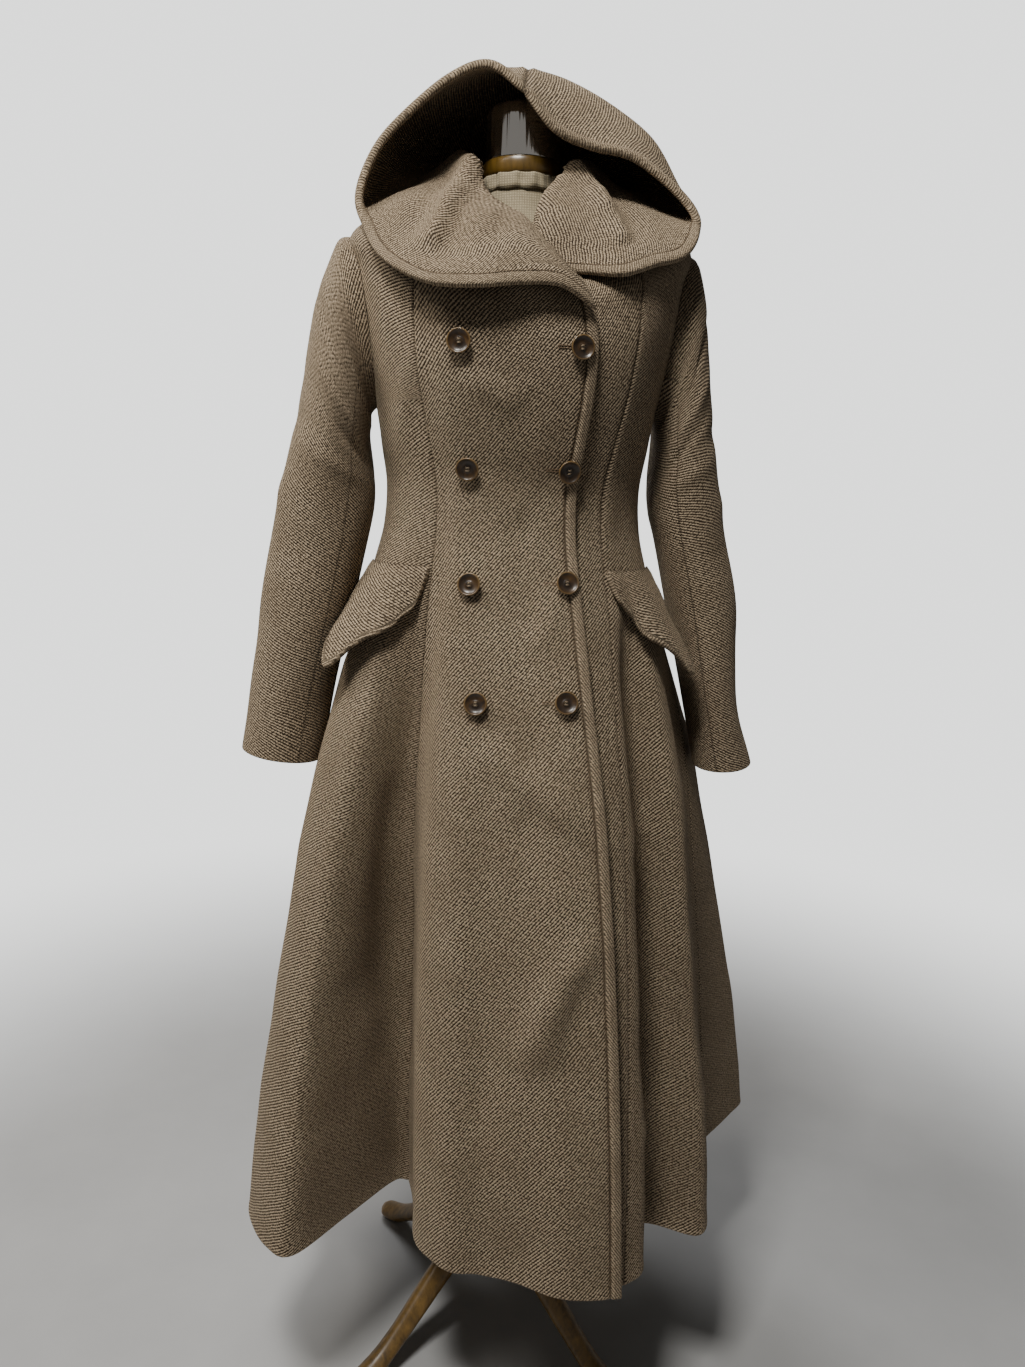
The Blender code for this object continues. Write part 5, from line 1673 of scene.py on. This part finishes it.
@dataclass
class PocketFlaps:
    """Pointed flaps sewn along the hip, their free edges standing off the skirt."""

    drape: Drape
    columns: int = 64
    rows: int = 22

    def build(self, cloth: bpy.types.Material) -> None:
        """Makes both flaps.

        Args:
            cloth: the cloth's finish.
        """
        table = numbers(FLAP_ROWS)
        heights = self.drape.rows[:, 1]
        for side, word in ((1, "left"), (-1, "right")):
            degrees = np.concatenate([
                [47.0, 47.06, 47.15, 47.3, 47.5], np.linspace(47.9, 86.1, self.columns),
                [86.5, 86.7, 86.85, 86.94, 87.0]
            ])
            depth, stand = along(table[:, 0], table[:, 1:], degrees).T
            grid = []
            shares = np.concatenate(
                [[0.0, 0.01, 0.03], np.linspace(0.07, 0.90, self.rows), [0.935, 0.96, 0.98, 0.992, 1.0]]
            )
            for share in shares:
                tight = np.maximum(smooth(84.0, 87.0, degrees), smooth(0.35, 0.0, share))
                z = 1.0185 - depth * share
                v = np.interp(-z, -heights, np.arange(len(heights)))
                middle = self.drape.middle("side", v, side * degrees)
                normal = self.drape.normal("side", v, side * degrees)
                off = WALL / 2 + FLAP_WALL / 2 + 0.0009 + stand * share**1.3 - 0.0022 * tight
                grid.append(middle + normal * off[:, None])
            grid = np.array(grid)
            normal = normals(grid) * -side
            name = f"pocket_flap_{word}"
            edges = (Edge.TURNED, Edge.TURNED, Edge.SEAM, Edge.BANDED)
            rests = (f"front_{word}_side_cloth",)
            ClothPiece(
                f"{name}_cloth", name, grid, normal, FLAP_WALL, edges, 30.0, "hung", rests, 0, FLAP_BAND
            ).build(cloth)


@dataclass
class Turning:
    """Shapes turned about an axis."""

    steps: int = 48

    def rings(self, profile: tuple[tuple[float, float], ...]) -> np.ndarray:
        """Rings of points from (radius, height) pairs, about +Z."""
        turn = np.arange(self.steps) / self.steps * 2 * math.pi
        return np.array(
            [np.stack([r * np.cos(turn), r * np.sin(turn), np.full(self.steps, z)], -1) for r, z in profile]
        )

    def faces(self, count: int) -> list[list[int]]:
        """Faces between rings, closed flat at both ends.

        Args:
            count: how many rings there are.

        Returns:
            Vertex numbers of each face.
        """
        steps = self.steps
        faces = []
        for i in range(count - 1):
            for j in range(steps):
                k = (j + 1) % steps
                faces.append([i * steps + j, i * steps + k, (i + 1) * steps + k, (i + 1) * steps + j])
        faces.append(list(range(steps))[::-1])
        faces.append([(count - 1) * steps + j for j in range(steps)])
        return faces


@dataclass
class HornButtons:
    """Eight dished horn buttons with a raised rim and four holes, sewn on with crossed thread."""

    drape: Drape
    sides: int = 40
    hole_radius: float = 0.00105
    hole_ring: float = 0.0023
    thread_radius: float = 0.00042

    def place(self, x: float, z: float) -> tuple[np.ndarray, np.ndarray]:
        """Point and normal of the right front's face at a width and height.

        Args:
            x: the width.
            z: the height.

        Returns:
            The point and the normal.
        """
        degrees = -40.0 + np.arange(0, 701) * 0.1
        v = np.full(degrees.shape, np.interp(-z, -self.drape.rows[:, 0], np.arange(len(self.drape.rows))))
        for _ in range(4):
            points = self.drape.middle("over", v, degrees)
            v = v + (points[:, 2] - z) / 0.06
        k = int(np.argmin(np.abs(points[:, 0] - x)))
        normal = self.drape.normal("over", v[k : k + 1], degrees[k : k + 1])[0]
        lift = float(self.drape.lift(degrees[k : k + 1])[0])
        return self.drape.middle("over", v[k : k + 1], degrees[k : k + 1])[0] + normal * lift, normal

    def disc(self) -> tuple[np.ndarray, list[list[int]]]:
        """The button's body about +Z, with its back at height zero."""
        turning = Turning(self.sides)
        rings = turning.rings(BUTTON_PROFILE)
        return rings.reshape(-1, 3), turning.faces(len(BUTTON_PROFILE))

    def build(self, horn: bpy.types.Material, thread: bpy.types.Material) -> None:
        """Makes each button, bores its holes and sews it on.

        Args:
            horn: the buttons' finish.
            thread: the thread's finish.
        """
        for name, x, z in BUTTONS:
            at, normal = self.place(x, z)
            seat = at + normal * (WALL / 2 + 0.0030) + POLE_AT
            basis = self.frame(normal)
            points, faces = self.disc()
            obj = mesh_object(f"{name}_horn", points, faces, horn)
            self.bore(obj)
            self.mark_rim_highlight(obj.data)
            obj.data.transform(Matrix.Translation(Vector(seat)) @ basis)
            obj.data.set_sharp_from_angle(angle=math.radians(50))
            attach(obj, "root")
            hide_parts(name)
            sewn = self.sewing(name, thread)
            sewn.data.transform(Matrix.Translation(Vector(seat)) @ basis)
            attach(sewn, "root")
            LOG.info("%s at %.3f, %.3f", name, x, z)

    def frame(self, normal: np.ndarray) -> Matrix:
        """Turns +Z to the normal and keeps the button's own up."""
        side = unit(np.cross([0.0, 0.0, 1.0], normal))
        up = np.cross(normal, side)
        return Matrix((tuple(side), tuple(up), tuple(normal))).transposed().to_4x4()

    def mark_rim_highlight(self, mesh: bpy.types.Mesh) -> None:
        """Marks the raised rim, where a paler colour paints the highlight of its polished rounding.

        Args:
            mesh: the button's mesh, about +Z.
        """
        place = np.empty(len(mesh.vertices) * 3)
        mesh.vertices.foreach_get("co", place)
        reach = np.hypot(place[0::3], place[1::3])
        # Mask of the painted highlight on the rim.
        rim = mesh.attributes.new("rim", "FLOAT", "POINT")
        rim.data.foreach_set("value", smooth(0.0108, 0.0118, reach).astype(np.float32))

    def holes(self) -> list[tuple[float, float]]:
        """Centres of the four holes."""
        return [
            (self.hole_ring * math.cos(a), self.hole_ring * math.sin(a))
            for a in (math.pi / 4 + k * math.pi / 2 for k in range(4))
        ]

    def bore(self, obj: bpy.types.Object) -> None:
        """Cuts the four holes right through.

        Args:
            obj: the button, about +Z.
        """
        cut_points: list = []
        cut_faces: list = []
        turning = Turning(14)
        for hx, hy in self.holes():
            rings = turning.rings(
                ((self.hole_radius, -0.002), (self.hole_radius, 0.0085))
            ) + np.array([hx, hy, 0.0])
            start = len(cut_points)
            cut_points += rings.reshape(-1, 3).tolist()
            cut_faces += [[start + i for i in f] for f in turning.faces(2)]
        cutter = mesh_object("hole_cutter", np.array(cut_points), cut_faces, obj.data.materials[0])
        cut = obj.modifiers.new("holes", "BOOLEAN")
        cut.object = cutter
        cut.operation = "DIFFERENCE"
        cut.solver = "EXACT"
        graph = bpy.context.evaluated_depsgraph_get()
        result = bpy.data.meshes.new_from_object(obj.evaluated_get(graph))
        obj.modifiers.remove(cut)
        old = obj.data
        obj.data = result
        bpy.data.meshes.remove(old)
        bpy.data.objects.remove(cutter)
        obj.data.shade_smooth()

    def sewing(self, name: str, thread: bpy.types.Material) -> bpy.types.Object:
        """Two parallel bars of thread over the face, through the holes to the shank of thread behind.

        Args:
            name: the button's name.
            thread: the thread's finish.

        Returns:
            The thread, about +Z.
        """
        points: list = []
        faces: list = []
        holes = self.holes()
        for a, b in ((0, 1), (3, 2)):
            for shift in (-0.00045, 0.00045):
                p = np.array([holes[a][0], holes[a][1] + shift, 0.0])
                q = np.array([holes[b][0], holes[b][1] + shift, 0.0])
                path = [p + [0, 0, -0.0026], p + [0, 0, 0.0018]]
                path += [
                    p + (q - p) * t + [0, 0, 0.0026 + 0.0007 * math.sin(t * math.pi)]
                    for t in (0.06, 0.3, 0.5, 0.7, 0.94)
                ]
                path += [q + [0, 0, 0.0018], q + [0, 0, -0.0026]]
                ring_points, ring_faces = tube(np.array(path), self.thread_radius, 7)
                faces += [[len(points) + i for i in f] for f in ring_faces]
                points += ring_points.tolist()
        shank = Turning(12).rings(((0.0021, -0.0034), (0.0018, -0.0022), (0.0019, -0.0008), (0.0024, 0.0014)))
        faces += [[len(points) + i for i in f] for f in Turning(12).faces(4)]
        points += shank.reshape(-1, 3).tolist()
        return mesh_object(f"{name}_thread", np.array(points), faces, thread)


def tube(path: np.ndarray, radius: float | np.ndarray, sides: int) -> tuple[np.ndarray, list[list[int]]]:
    """A round tube along a path, closed at its ends.

    Args:
        path: points of its middle line.
        radius: its radius, or one to each point.
        sides: how many sides it has.

    Returns:
        Its points and faces.
    """
    radius = np.broadcast_to(radius, (len(path),))
    tangent = unit(np.gradient(path, axis=0))
    helper = np.array([0.3, 0.5, 0.81])
    side = unit(np.cross(tangent, helper))
    over = np.cross(tangent, side)
    turn = np.arange(sides) / sides * 2 * math.pi
    rings = path[:, None] + radius[:, None, None] * (
        np.cos(turn)[None, :, None] * side[:, None] + np.sin(turn)[None, :, None] * over[:, None]
    )
    return rings.reshape(-1, 3), Turning(sides).faces(len(path))


def turned_piece(
    name: str, node_name: str, profile: tuple, turning: Turning, material: bpy.types.Material
) -> None:
    """A piece turned about the pole that stands for its solid.

    Args:
        name: the piece's name.
        node_name: the CAD node that it stands for.
        profile: pairs of radius and height.
        turning: how finely it is turned.
        material: its finish.
    """
    rings = turning.rings(profile) + POLE_AT
    obj = mesh_object(name, rings.reshape(-1, 3), turning.faces(len(profile)), material)
    obj.data.set_sharp_from_angle(angle=math.radians(40))
    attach(obj, "root")
    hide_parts(node_name)
    LOG.info("%s turned", name)


@dataclass
class Stitching:
    """Rows of machine stitches and worked buttonholes, laid along paths by Geometry Nodes."""

    drape: Drape
    stitch: float = 0.0032
    spacing: float = 0.0041
    thickness: float = 0.00042

    def tree(self, thread: bpy.types.Material) -> bpy.types.NodeTree:
        """A tree that lays one slim stitch at each step along a path.

        Args:
            thread: the stitches' finish.

        Returns:
            The geometry tree, with named inputs for spacing, length and thickness.
        """
        tree = bpy.data.node_groups.new("stitch_row", "GeometryNodeTree")
        tree.interface.new_socket("Path", in_out="INPUT", socket_type="NodeSocketGeometry")
        for label, value in (
            ("Spacing", self.spacing), ("Stitch length", self.stitch), ("Thickness", self.thickness)
        ):
            made = tree.interface.new_socket(label, in_out="INPUT", socket_type="NodeSocketFloat")
            made.default_value = value
        tree.interface.new_socket("Stitches", in_out="OUTPUT", socket_type="NodeSocketGeometry")
        given = node(tree, "NodeGroupInput")
        path = node(tree, "GeometryNodeMeshToCurve", {"Mesh": given.outputs["Path"]})
        even = node(
            tree, "GeometryNodeResampleCurve", {"Curve": path.outputs[0], "Length": given.outputs["Spacing"]},
            mode="LENGTH"
        )
        bead = node(tree, "GeometryNodeMeshUVSphere", {"Segments": 6, "Rings": 5, "Radius": 1.0})
        half = node(tree, "ShaderNodeMath", {0: given.outputs["Stitch length"], 1: 0.5}, operation="MULTIPLY")
        size = node(
            tree, "ShaderNodeCombineXYZ",
            {0: half.outputs[0], 1: given.outputs["Thickness"], 2: given.outputs["Thickness"]}
        )
        slim = node(
            tree, "GeometryNodeTransform", {"Geometry": bead.outputs["Mesh"], "Scale": size.outputs[0]}
        )
        heading = node(tree, "GeometryNodeInputTangent")
        turn = node(tree, "FunctionNodeAlignRotationToVector", {"Vector": heading.outputs[0]}, axis="X")
        laid = node(
            tree,
            "GeometryNodeInstanceOnPoints",
            {"Points": even.outputs[0], "Instance": slim.outputs[0], "Rotation": turn.outputs[0]},
        )
        real = node(tree, "GeometryNodeRealizeInstances", {0: laid.outputs[0]})
        dressed = node(tree, "GeometryNodeSetMaterial", {"Geometry": real.outputs[0], "Material": thread})
        node(tree, "NodeGroupOutput", {0: dressed.outputs[0]})
        return tree

    def lay(
        self, name: str, paths: list[np.ndarray], thread: bpy.types.Material,
        values: dict[str, float] | None = None
    ) -> bpy.types.Object:
        """Stitches along paths, as a plain mesh.

        Args:
            name: the piece's name.
            paths: points of each path.
            thread: the stitches' finish.
            values: sizes other than the usual ones, by input name.

        Returns:
            The stitches.
        """
        points: list = []
        edges: list = []
        for path in paths:
            start = len(points)
            points += (path + POLE_AT).tolist()
            edges += [(start + k, start + k + 1) for k in range(len(path) - 1)]
        mesh = bpy.data.meshes.new(name)
        mesh.from_pydata(points, edges, [])
        guide = bpy.data.objects.new(name, mesh)
        bpy.context.scene.collection.objects.link(guide)
        tree = self.tree(thread)
        rows = guide.modifiers.new("stitches", "NODES")
        rows.node_group = tree
        for item in tree.interface.items_tree:
            if item.in_out == "INPUT" and item.name in (values or {}):
                rows[item.identifier] = float(values[item.name])
        graph = bpy.context.evaluated_depsgraph_get()
        result = bpy.data.meshes.new_from_object(guide.evaluated_get(graph))
        guide.modifiers.remove(rows)
        guide.data = result
        result.name = name
        if not result.materials:
            result.materials.append(thread)
        result.shade_smooth()
        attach(guide, "root")
        LOG.info("%s: %d faces", name, len(result.polygons))
        return guide

    def front_edge(self) -> list[np.ndarray]:
        """The row of topstitching down the right front, in from its free edge.

        Returns:
            One path.
        """
        v = np.linspace(0.12, len(self.drape.rows) - 1.02, 420)
        edge = np.interp(v, *np.array(OVER_EDGE).T)
        near = self.drape.middle("over", v, edge)
        far = self.drape.middle("over", v, edge - 0.5)
        per_metre = 0.5 / np.linalg.norm(far - near, axis=-1)
        degrees = edge - per_metre * EDGE_BAND
        point = self.drape.middle("over", v, degrees)
        normal = self.drape.normal("over", v, degrees)
        crease = self.drape.over_crease(
            point + normal * self.drape.lift(degrees)[:, None], np.full(v.shape, EDGE_BAND)
        )
        rise = self.drape.lift(degrees) + WALL / 2 - 0.0007 + crease
        return [point + normal * rise[:, None]]

    def hood_rim(self, hood: Hood) -> list[np.ndarray]:
        """The row of topstitching round the hood, on both of its faces.

        Args:
            hood: the hood's sizes.

        Returns:
            The paths.
        """
        paths = []
        for table, layer, flip in ((HOOD_RIGHT, "over", 1.0), (HOOD_LEFT, "under", -1.0)):
            fine = hood.surface(table, layer)
            grid = hood.respace(fine)
            normal = normals(grid) * flip
            row = len(grid) - len(RIM_OFFSETS) + RIM_STITCH_ROW
            for side in (1.0, -1.0):
                lift = HOOD_WALL / 2 - (0.0008 if side > 0 else -0.0002)
                paths.append(grid[row, 3:-1] + side * normal[row, 3:-1] * lift)
        return paths

    def buttonholes(self, buttons: HornButtons) -> list[np.ndarray]:
        """Outlines of the worked buttonholes that reach out from behind the left column of buttons.

        Args:
            buttons: what places the buttons.

        Returns:
            The paths.
        """
        paths = []
        for name, x, z in BUTTONS:
            if "left" not in name:
                continue
            for rise in (-0.0012, 0.0012):
                line = []
                for across in np.linspace(-0.0225, 0.004, 12):
                    at, normal = buttons.place(x + across, z + rise)
                    line.append(at + normal * (WALL / 2 + 0.0002))
                paths.append(np.array(line))
            end = [buttons.place(x - 0.0232, z + rise) for rise in np.linspace(-0.0014, 0.0014, 5)]
            paths.append(np.array([at + normal * (WALL / 2 + 0.0002) for at, normal in end]))
        return paths

    def build(self, hood: Hood, buttons: HornButtons, thread: bpy.types.Material) -> None:
        """Lays every row.

        Args:
            hood: the hood's sizes.
            buttons: what places the buttons.
            thread: the stitches' finish.
        """
        self.lay("front_edge_topstitch", self.front_edge(), thread)
        self.lay("hood_rim_topstitch", self.hood_rim(hood), thread)
        fine = {"Spacing": 0.0007, "Stitch length": 0.0016, "Thickness": 0.0005}
        self.lay("buttonhole_stitches", self.buttonholes(buttons), thread, fine)


@dataclass
class DressForm:
    """The limbless form: a linen-covered torso, a turned wooden ring and a polished cap."""

    ring_low: float = 1.4494
    ring_high: float = 1.4662
    cap_low: float = 1.4666
    cap_high: float = 1.5250
    radius: float = 0.0435

    def build(self, linen: bpy.types.Material, wood: bpy.types.Material, metal: bpy.types.Material) -> None:
        """Makes the torso, the ring and the cap.

        Args:
            linen: the cover's finish.
            wood: the ring's finish.
            metal: the cap's finish.
        """
        shape = Drape(rows=numbers(FORM_ROWS))
        steps = 96
        theta = np.arange(steps) / steps * 2 * math.pi
        theta = np.where(theta > math.pi, theta - 2 * math.pi, theta)
        rings = []
        for v in np.linspace(0, len(FORM_ROWS) - 1, 91):
            row = spline(shape.rows, np.full(steps, v))
            r = shape.radius(row, theta)
            rings.append(np.stack([r * np.sin(theta), -r * np.cos(theta), shape.height(row, theta)], -1))
        torso = mesh_object(
            "torso_linen", (np.array(rings) + POLE_AT).reshape(-1, 3), Turning(steps).faces(len(rings)), linen
        )
        torso.data.flip_normals()
        torso.data.set_sharp_from_angle(angle=math.radians(60))
        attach(torso, "root")
        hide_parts("form_torso")
        turning = Turning(72)
        mid = (self.ring_low + self.ring_high) / 2
        half = (self.ring_high - self.ring_low) / 2
        ring = [(0.0436, self.ring_low)]
        ring += [
            (0.0442 + 0.0023 * math.cos(a), mid + half * math.sin(a)) for a in np.linspace(-1.35, 1.35, 15)
        ]
        ring += [(0.0436, self.ring_high)]
        turned_piece("neck_ring_wood", "form_neck_ring", tuple(ring), turning, wood)
        cap = [(0.0405, self.cap_low), (0.0432, self.cap_low + 0.0006), (self.radius, self.cap_low + 0.0022)]
        cap += [
            (self.radius, self.cap_low + 0.010), (self.radius, 1.4900), (self.radius, 1.5080),
            (self.radius - 0.0002, 1.5150)
        ]
        cap += [
            (0.0425 - 0.0085 * (1 - math.cos(a)), 1.5160 + 0.0088 * math.sin(a))
            for a in np.linspace(0.1, 1.5, 9)
        ]
        cap += [(0.0220, 1.52495), (0.0040, self.cap_high)]
        turned_piece("neck_cap_metal", "form_neck_cap", tuple(cap), turning, metal)
        self.collar(linen)

    def collar(self, linen: bpy.types.Material) -> None:
        """The crumpled upper edge of the cover, drawn up round the neck under the ring.

        Args:
            linen: the cover's finish.
        """
        steps = 150
        turn = np.arange(steps) / steps * 2 * math.pi
        rings = []
        for z, radius, crumple in (
            (1.4320, 0.0480, 0.0004), (1.4380, 0.0468, 0.0010), (1.4430, 0.0462, 0.0014),
            (1.4465, 0.0458, 0.0012), (1.4492, 0.0452, 0.0006)
        ):
            fold = (
                np.sin(turn * 9 + 40 * z) + 0.6 * np.sin(turn * 17 + 1.3) + 0.5 * np.sin(turn * 29 + 90 * z)
            )
            r = radius + crumple * fold
            rings.append(np.stack(
                [r * np.cos(turn), r * np.sin(turn), np.full(steps, z) + 0.0006 * np.sin(turn * 13)], -1
            ))
        inner = [ring * np.array([0.955, 0.955, 1.0]) for ring in rings[::-1]]
        points = np.concatenate(rings + inner) + POLE_AT
        count = len(rings) * 2
        faces = []
        for i in range(count):
            n = (i + 1) % count
            for j in range(steps):
                k = (j + 1) % steps
                faces.append([i * steps + j, i * steps + k, n * steps + k, n * steps + j])
        obj = mesh_object("neck_linen_edge", points, faces, linen)
        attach(obj, "root")


@dataclass
class Stand:
    """The pole, the turned hub and the four swept legs."""

    pole_radius: float = 0.0160
    hub_radius: float = 0.0420
    hub_low: float = 0.0900
    hub_high: float = 0.1460
    leg_sides: int = 28

    def build(self, wood: bpy.types.Material) -> None:
        """Makes the pole, hub and legs.

        Args:
            wood: their finish.
        """
        turning = Turning(64)
        turned_piece(
            "pole_wood", "stand_pole",
            (
                (self.pole_radius - 0.0006, 0.1464), (self.pole_radius, 0.1470), (self.pole_radius, 0.5),
                (self.pole_radius, 0.8714)
            ),
            turning, wood
        )
        hub = [(0.0290, self.hub_low), (0.0310, self.hub_low + 0.0004)]
        hub += [
            (0.0420 - 0.0105 * (1 - t) ** 2, self.hub_low + 0.0010 + 0.0095 * t)
            for t in (0.0, 0.25, 0.5, 0.75, 1.0)
        ]
        hub += [
            (self.hub_radius, 0.104), (self.hub_radius, 0.132), (0.0414, 0.1356), (0.0396, 0.1376),
            (0.0382, 0.1382), (0.0370, 0.1396)
        ]
        hub += [(0.0330, 0.1420), (0.0290, 0.1446), (0.0262, 0.1458), (0.0240, self.hub_high)]
        turned_piece("hub_wood", "stand_hub", tuple(hub), turning, wood)
        for word, azimuth in FOOT_AZIMUTHS:
            self.leg(word, azimuth, wood)

    def leg(self, word: str, azimuth: float, wood: bpy.types.Material) -> None:
        """A leg that sweeps from the hub down to a rounded foot.

        Args:
            word: which leg it is.
            azimuth: its direction in degrees from +X.
            wood: its finish.
        """
        table = spline(numbers(LEG_ROWS), np.concatenate([np.linspace(0, 6, 40), np.linspace(6.1, 8, 16)]))
        direction = np.array([math.cos(math.radians(azimuth)), math.sin(math.radians(azimuth)), 0.0])
        across = np.array([-direction[1], direction[0], 0.0])
        slope = np.gradient(table[:, 1]) / np.gradient(table[:, 0])
        slope = slope * smooth(0.0425, 0.052, table[:, 0])
        rings = []
        for (reach, high, half_high, half_wide), fall in zip(table, slope):
            tilt = math.atan(fall)
            up = -math.sin(tilt) * direction + math.cos(tilt) * np.array([0.0, 0.0, 1.0])
            turn = np.arange(self.leg_sides) / self.leg_sides * 2 * math.pi
            soft = 0.94 + 0.06 * np.cos(4 * turn)
            ring = reach * direction + np.array([0, 0, high]) + (
                np.cos(turn) * soft * half_wide
            )[:, None] * across + (np.sin(turn) * soft * half_high)[:, None] * up
            ring[:, 2] = np.maximum(ring[:, 2], 0.0)
            rings.append(ring)
        end = rings[-1]
        middle = end.mean(axis=0)
        for shrink, push in ((0.82, 0.0022), (0.5, 0.0036), (0.15, 0.0042)):
            ring = middle + (end - middle) * shrink + direction * push
            ring[:, 2] = np.maximum(ring[:, 2], 0.0)
            rings.append(ring)
        grid = np.array(rings) + POLE_AT
        obj = mesh_object(
            f"leg_{word}_wood", grid.reshape(-1, 3), Turning(self.leg_sides).faces(len(grid)), wood
        )
        obj.data.set_sharp_from_angle(angle=math.radians(55))
        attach(obj, "root")
        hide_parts(f"stand_leg_{word}")
        LOG.info("leg %s", word)


@dataclass
class Studio:
    """The plain pale floor, the soft lights and the camera at the photograph's angle."""

    eye: tuple[float, float, float] = (-0.10938 - 0.0230, -1.25022 - 0.0016, 1.100)
    forward: tuple[float, float, float] = (0.09085307, 0.97936641, -0.18051915)
    right: tuple[float, float, float] = (0.995744, -0.08651966, 0.03175262)
    up: tuple[float, float, float] = (-0.01547899, 0.18263568, 0.9830588)
    lens: float = 27.07
    floor_half: float = 14.0
    fade: tuple[float, float] = (0.75, 2.1)
    wall: str = "E6E7E6"
    wall_strength: float = 2.35

    def camera(self) -> None:
        """Places the camera worked out from the photograph."""
        data = bpy.data.cameras.new("view")
        data.lens = self.lens
        data.sensor_width = 36.0
        data.sensor_fit = "AUTO"
        data.clip_start = 0.05
        obj = bpy.data.objects.new("view", data)
        bpy.context.scene.collection.objects.link(obj)
        back = [-c for c in self.forward]
        turn = Matrix((self.right, self.up, tuple(back))).transposed().to_4x4()
        obj.matrix_world = Matrix.Translation(Vector(self.eye)) @ turn
        bpy.context.scene.camera = obj

    def light(
        self, name: str, at: tuple[float, float, float], aim: tuple[float, float, float],
        size: tuple[float, float], power: float, colour: str
    ) -> None:
        """One soft rectangular light.

        Args:
            name: its name.
            at: where it stands.
            aim: the point it faces.
            size: width and height in metres.
            power: watts.
            colour: sRGB hex.
        """
        data = bpy.data.lights.new(name, "AREA")
        data.shape = "RECTANGLE"
        data.size, data.size_y = size
        data.energy = power
        data.color = rgb(colour)[:3]
        obj = bpy.data.objects.new(name, data)
        bpy.context.scene.collection.objects.link(obj)
        obj.location = at
        obj.rotation_euler = (Vector(aim) - Vector(at)).to_track_quat("-Z", "Y").to_euler()

    def floor(self) -> None:
        """A large pale floor that melts into the backdrop away from the coat."""
        points = np.array([[-1, -1, 0], [1, -1, 0], [1, 1, 0], [-1, 1, 0]]) * self.floor_half
        material, tree, shader = new_material("pale_matt_floor")
        place = node(tree, "ShaderNodeTexCoord").outputs["Object"]
        cloud = node(
            tree, "ShaderNodeTexNoise", {"Vector": place, "Scale": 3.0, "Detail": 6.0, "Roughness": 0.65}
        )
        tone = node(
            tree, "ShaderNodeMapRange", {"Value": cloud.outputs["Fac"], "To Min": 0.36, "To Max": 0.50}
        )
        tree.links.new(tone.outputs[0], shader.inputs["Base Color"])
        shader.inputs["Roughness"].default_value = 0.75
        away = node(tree, "ShaderNodeVectorMath", {0: place}, operation="LENGTH").outputs["Value"]
        near, far = self.fade
        fade = node(
            tree, "ShaderNodeMapRange", {"Value": away, "From Min": near, "From Max": far},
            interpolation_type="SMOOTHSTEP"
        )
        seen = node(tree, "ShaderNodeLightPath").outputs["Is Camera Ray"]
        share = node(tree, "ShaderNodeMath", {0: fade.outputs[0], 1: seen}, operation="MULTIPLY").outputs[0]
        wall = node(tree, "ShaderNodeEmission", {"Color": rgb(self.wall), "Strength": self.wall_strength})
        both = node(tree, "ShaderNodeMixShader", {0: share, 1: shader.outputs[0], 2: wall.outputs[0]})
        tree.links.new(both.outputs[0], tree.nodes["Material Output"].inputs["Surface"])
        floor = mesh_object("floor", points, [[0, 1, 2, 3]], material)
        floor.data.transform(Matrix.Translation((0.0, 0.0, -0.0006)))

    def build(self) -> None:
        """Lays the floor, hangs the lights and sets the world and the camera."""
        self.floor()
        world = bpy.data.worlds.new("soft_room")
        world.use_nodes = True
        room = world.node_tree
        background = room.nodes["Background"]
        background.inputs["Color"].default_value = rgb("E6E4DF")
        background.inputs["Strength"].default_value = 0.085
        wall = node(room, "ShaderNodeBackground", {"Color": rgb(self.wall), "Strength": self.wall_strength})
        bright = node(room, "ShaderNodeBackground", {"Color": rgb("E6E4DF"), "Strength": 0.32})
        ray = node(room, "ShaderNodeLightPath").outputs
        glossy = node(
            room, "ShaderNodeMixShader",
            {0: ray["Is Glossy Ray"], 1: background.outputs[0], 2: bright.outputs[0]}
        )
        mixed = node(
            room, "ShaderNodeMixShader", {0: ray["Is Camera Ray"], 1: glossy.outputs[0], 2: wall.outputs[0]}
        )
        room.links.new(mixed.outputs[0], room.nodes["World Output"].inputs["Surface"])
        bpy.context.scene.world = world
        self.light("key", (-1.7, -0.4, 2.9), (0.0, 0.0, 1.0), (0.8, 0.8), 36.0, "FFFAF2")
        self.light("top", (-0.60, -1.20, 3.0), (0.05, 0.0, 0.8), (0.5, 0.5), 60.0, "FFFDF8")
        self.light("back", (-0.7, 2.1, 3.0), (0.0, 0.0, 1.0), (1.8, 1.4), 48.0, "FFFFFF")
        self.camera()


def main() -> None:
    """Builds the coat, the form and the room in order."""
    logging.basicConfig(level=logging.INFO, format="%(message)s")
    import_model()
    wool = WoolTwill().build("brushed_wool_twill")
    horn = PolishedHorn().build()
    thread = SewingThread().build()
    # Paler than the sewing thread: partly the thread's own colour, partly a painted highlight of the thread
    # at the holes.
    button_thread_and_highlight = SewingThread("button_thread_and_highlight", "8C7B64").build()
    linen = PlainLinen().build()
    wood = WaxedBeech().build()
    # The ring's beech is the stand's beech painted darker: painted shade of the hollow inside the hood where
    # it sits.
    shaded_ring_wood = WaxedBeech("varnished_ring_beech_painted_shade", "33260A", "6F5420", 0.30).build()
    metal = PolishedSteel().build()
    drape = Drape()
    hood = Hood(drape)
    buttons = HornButtons(drape)
    CoatBody(drape).build(wool)
    Sleeves(drape).build(wool)
    hood.build(wool)
    PocketFlaps(drape).build(wool)
    buttons.build(horn, button_thread_and_highlight)
    Stitching(drape).build(hood, buttons, thread)
    DressForm().build(linen, shaded_ring_wood, metal)
    Stand().build(wood)
    Studio().build()


if __name__ == "__main__":
    main()
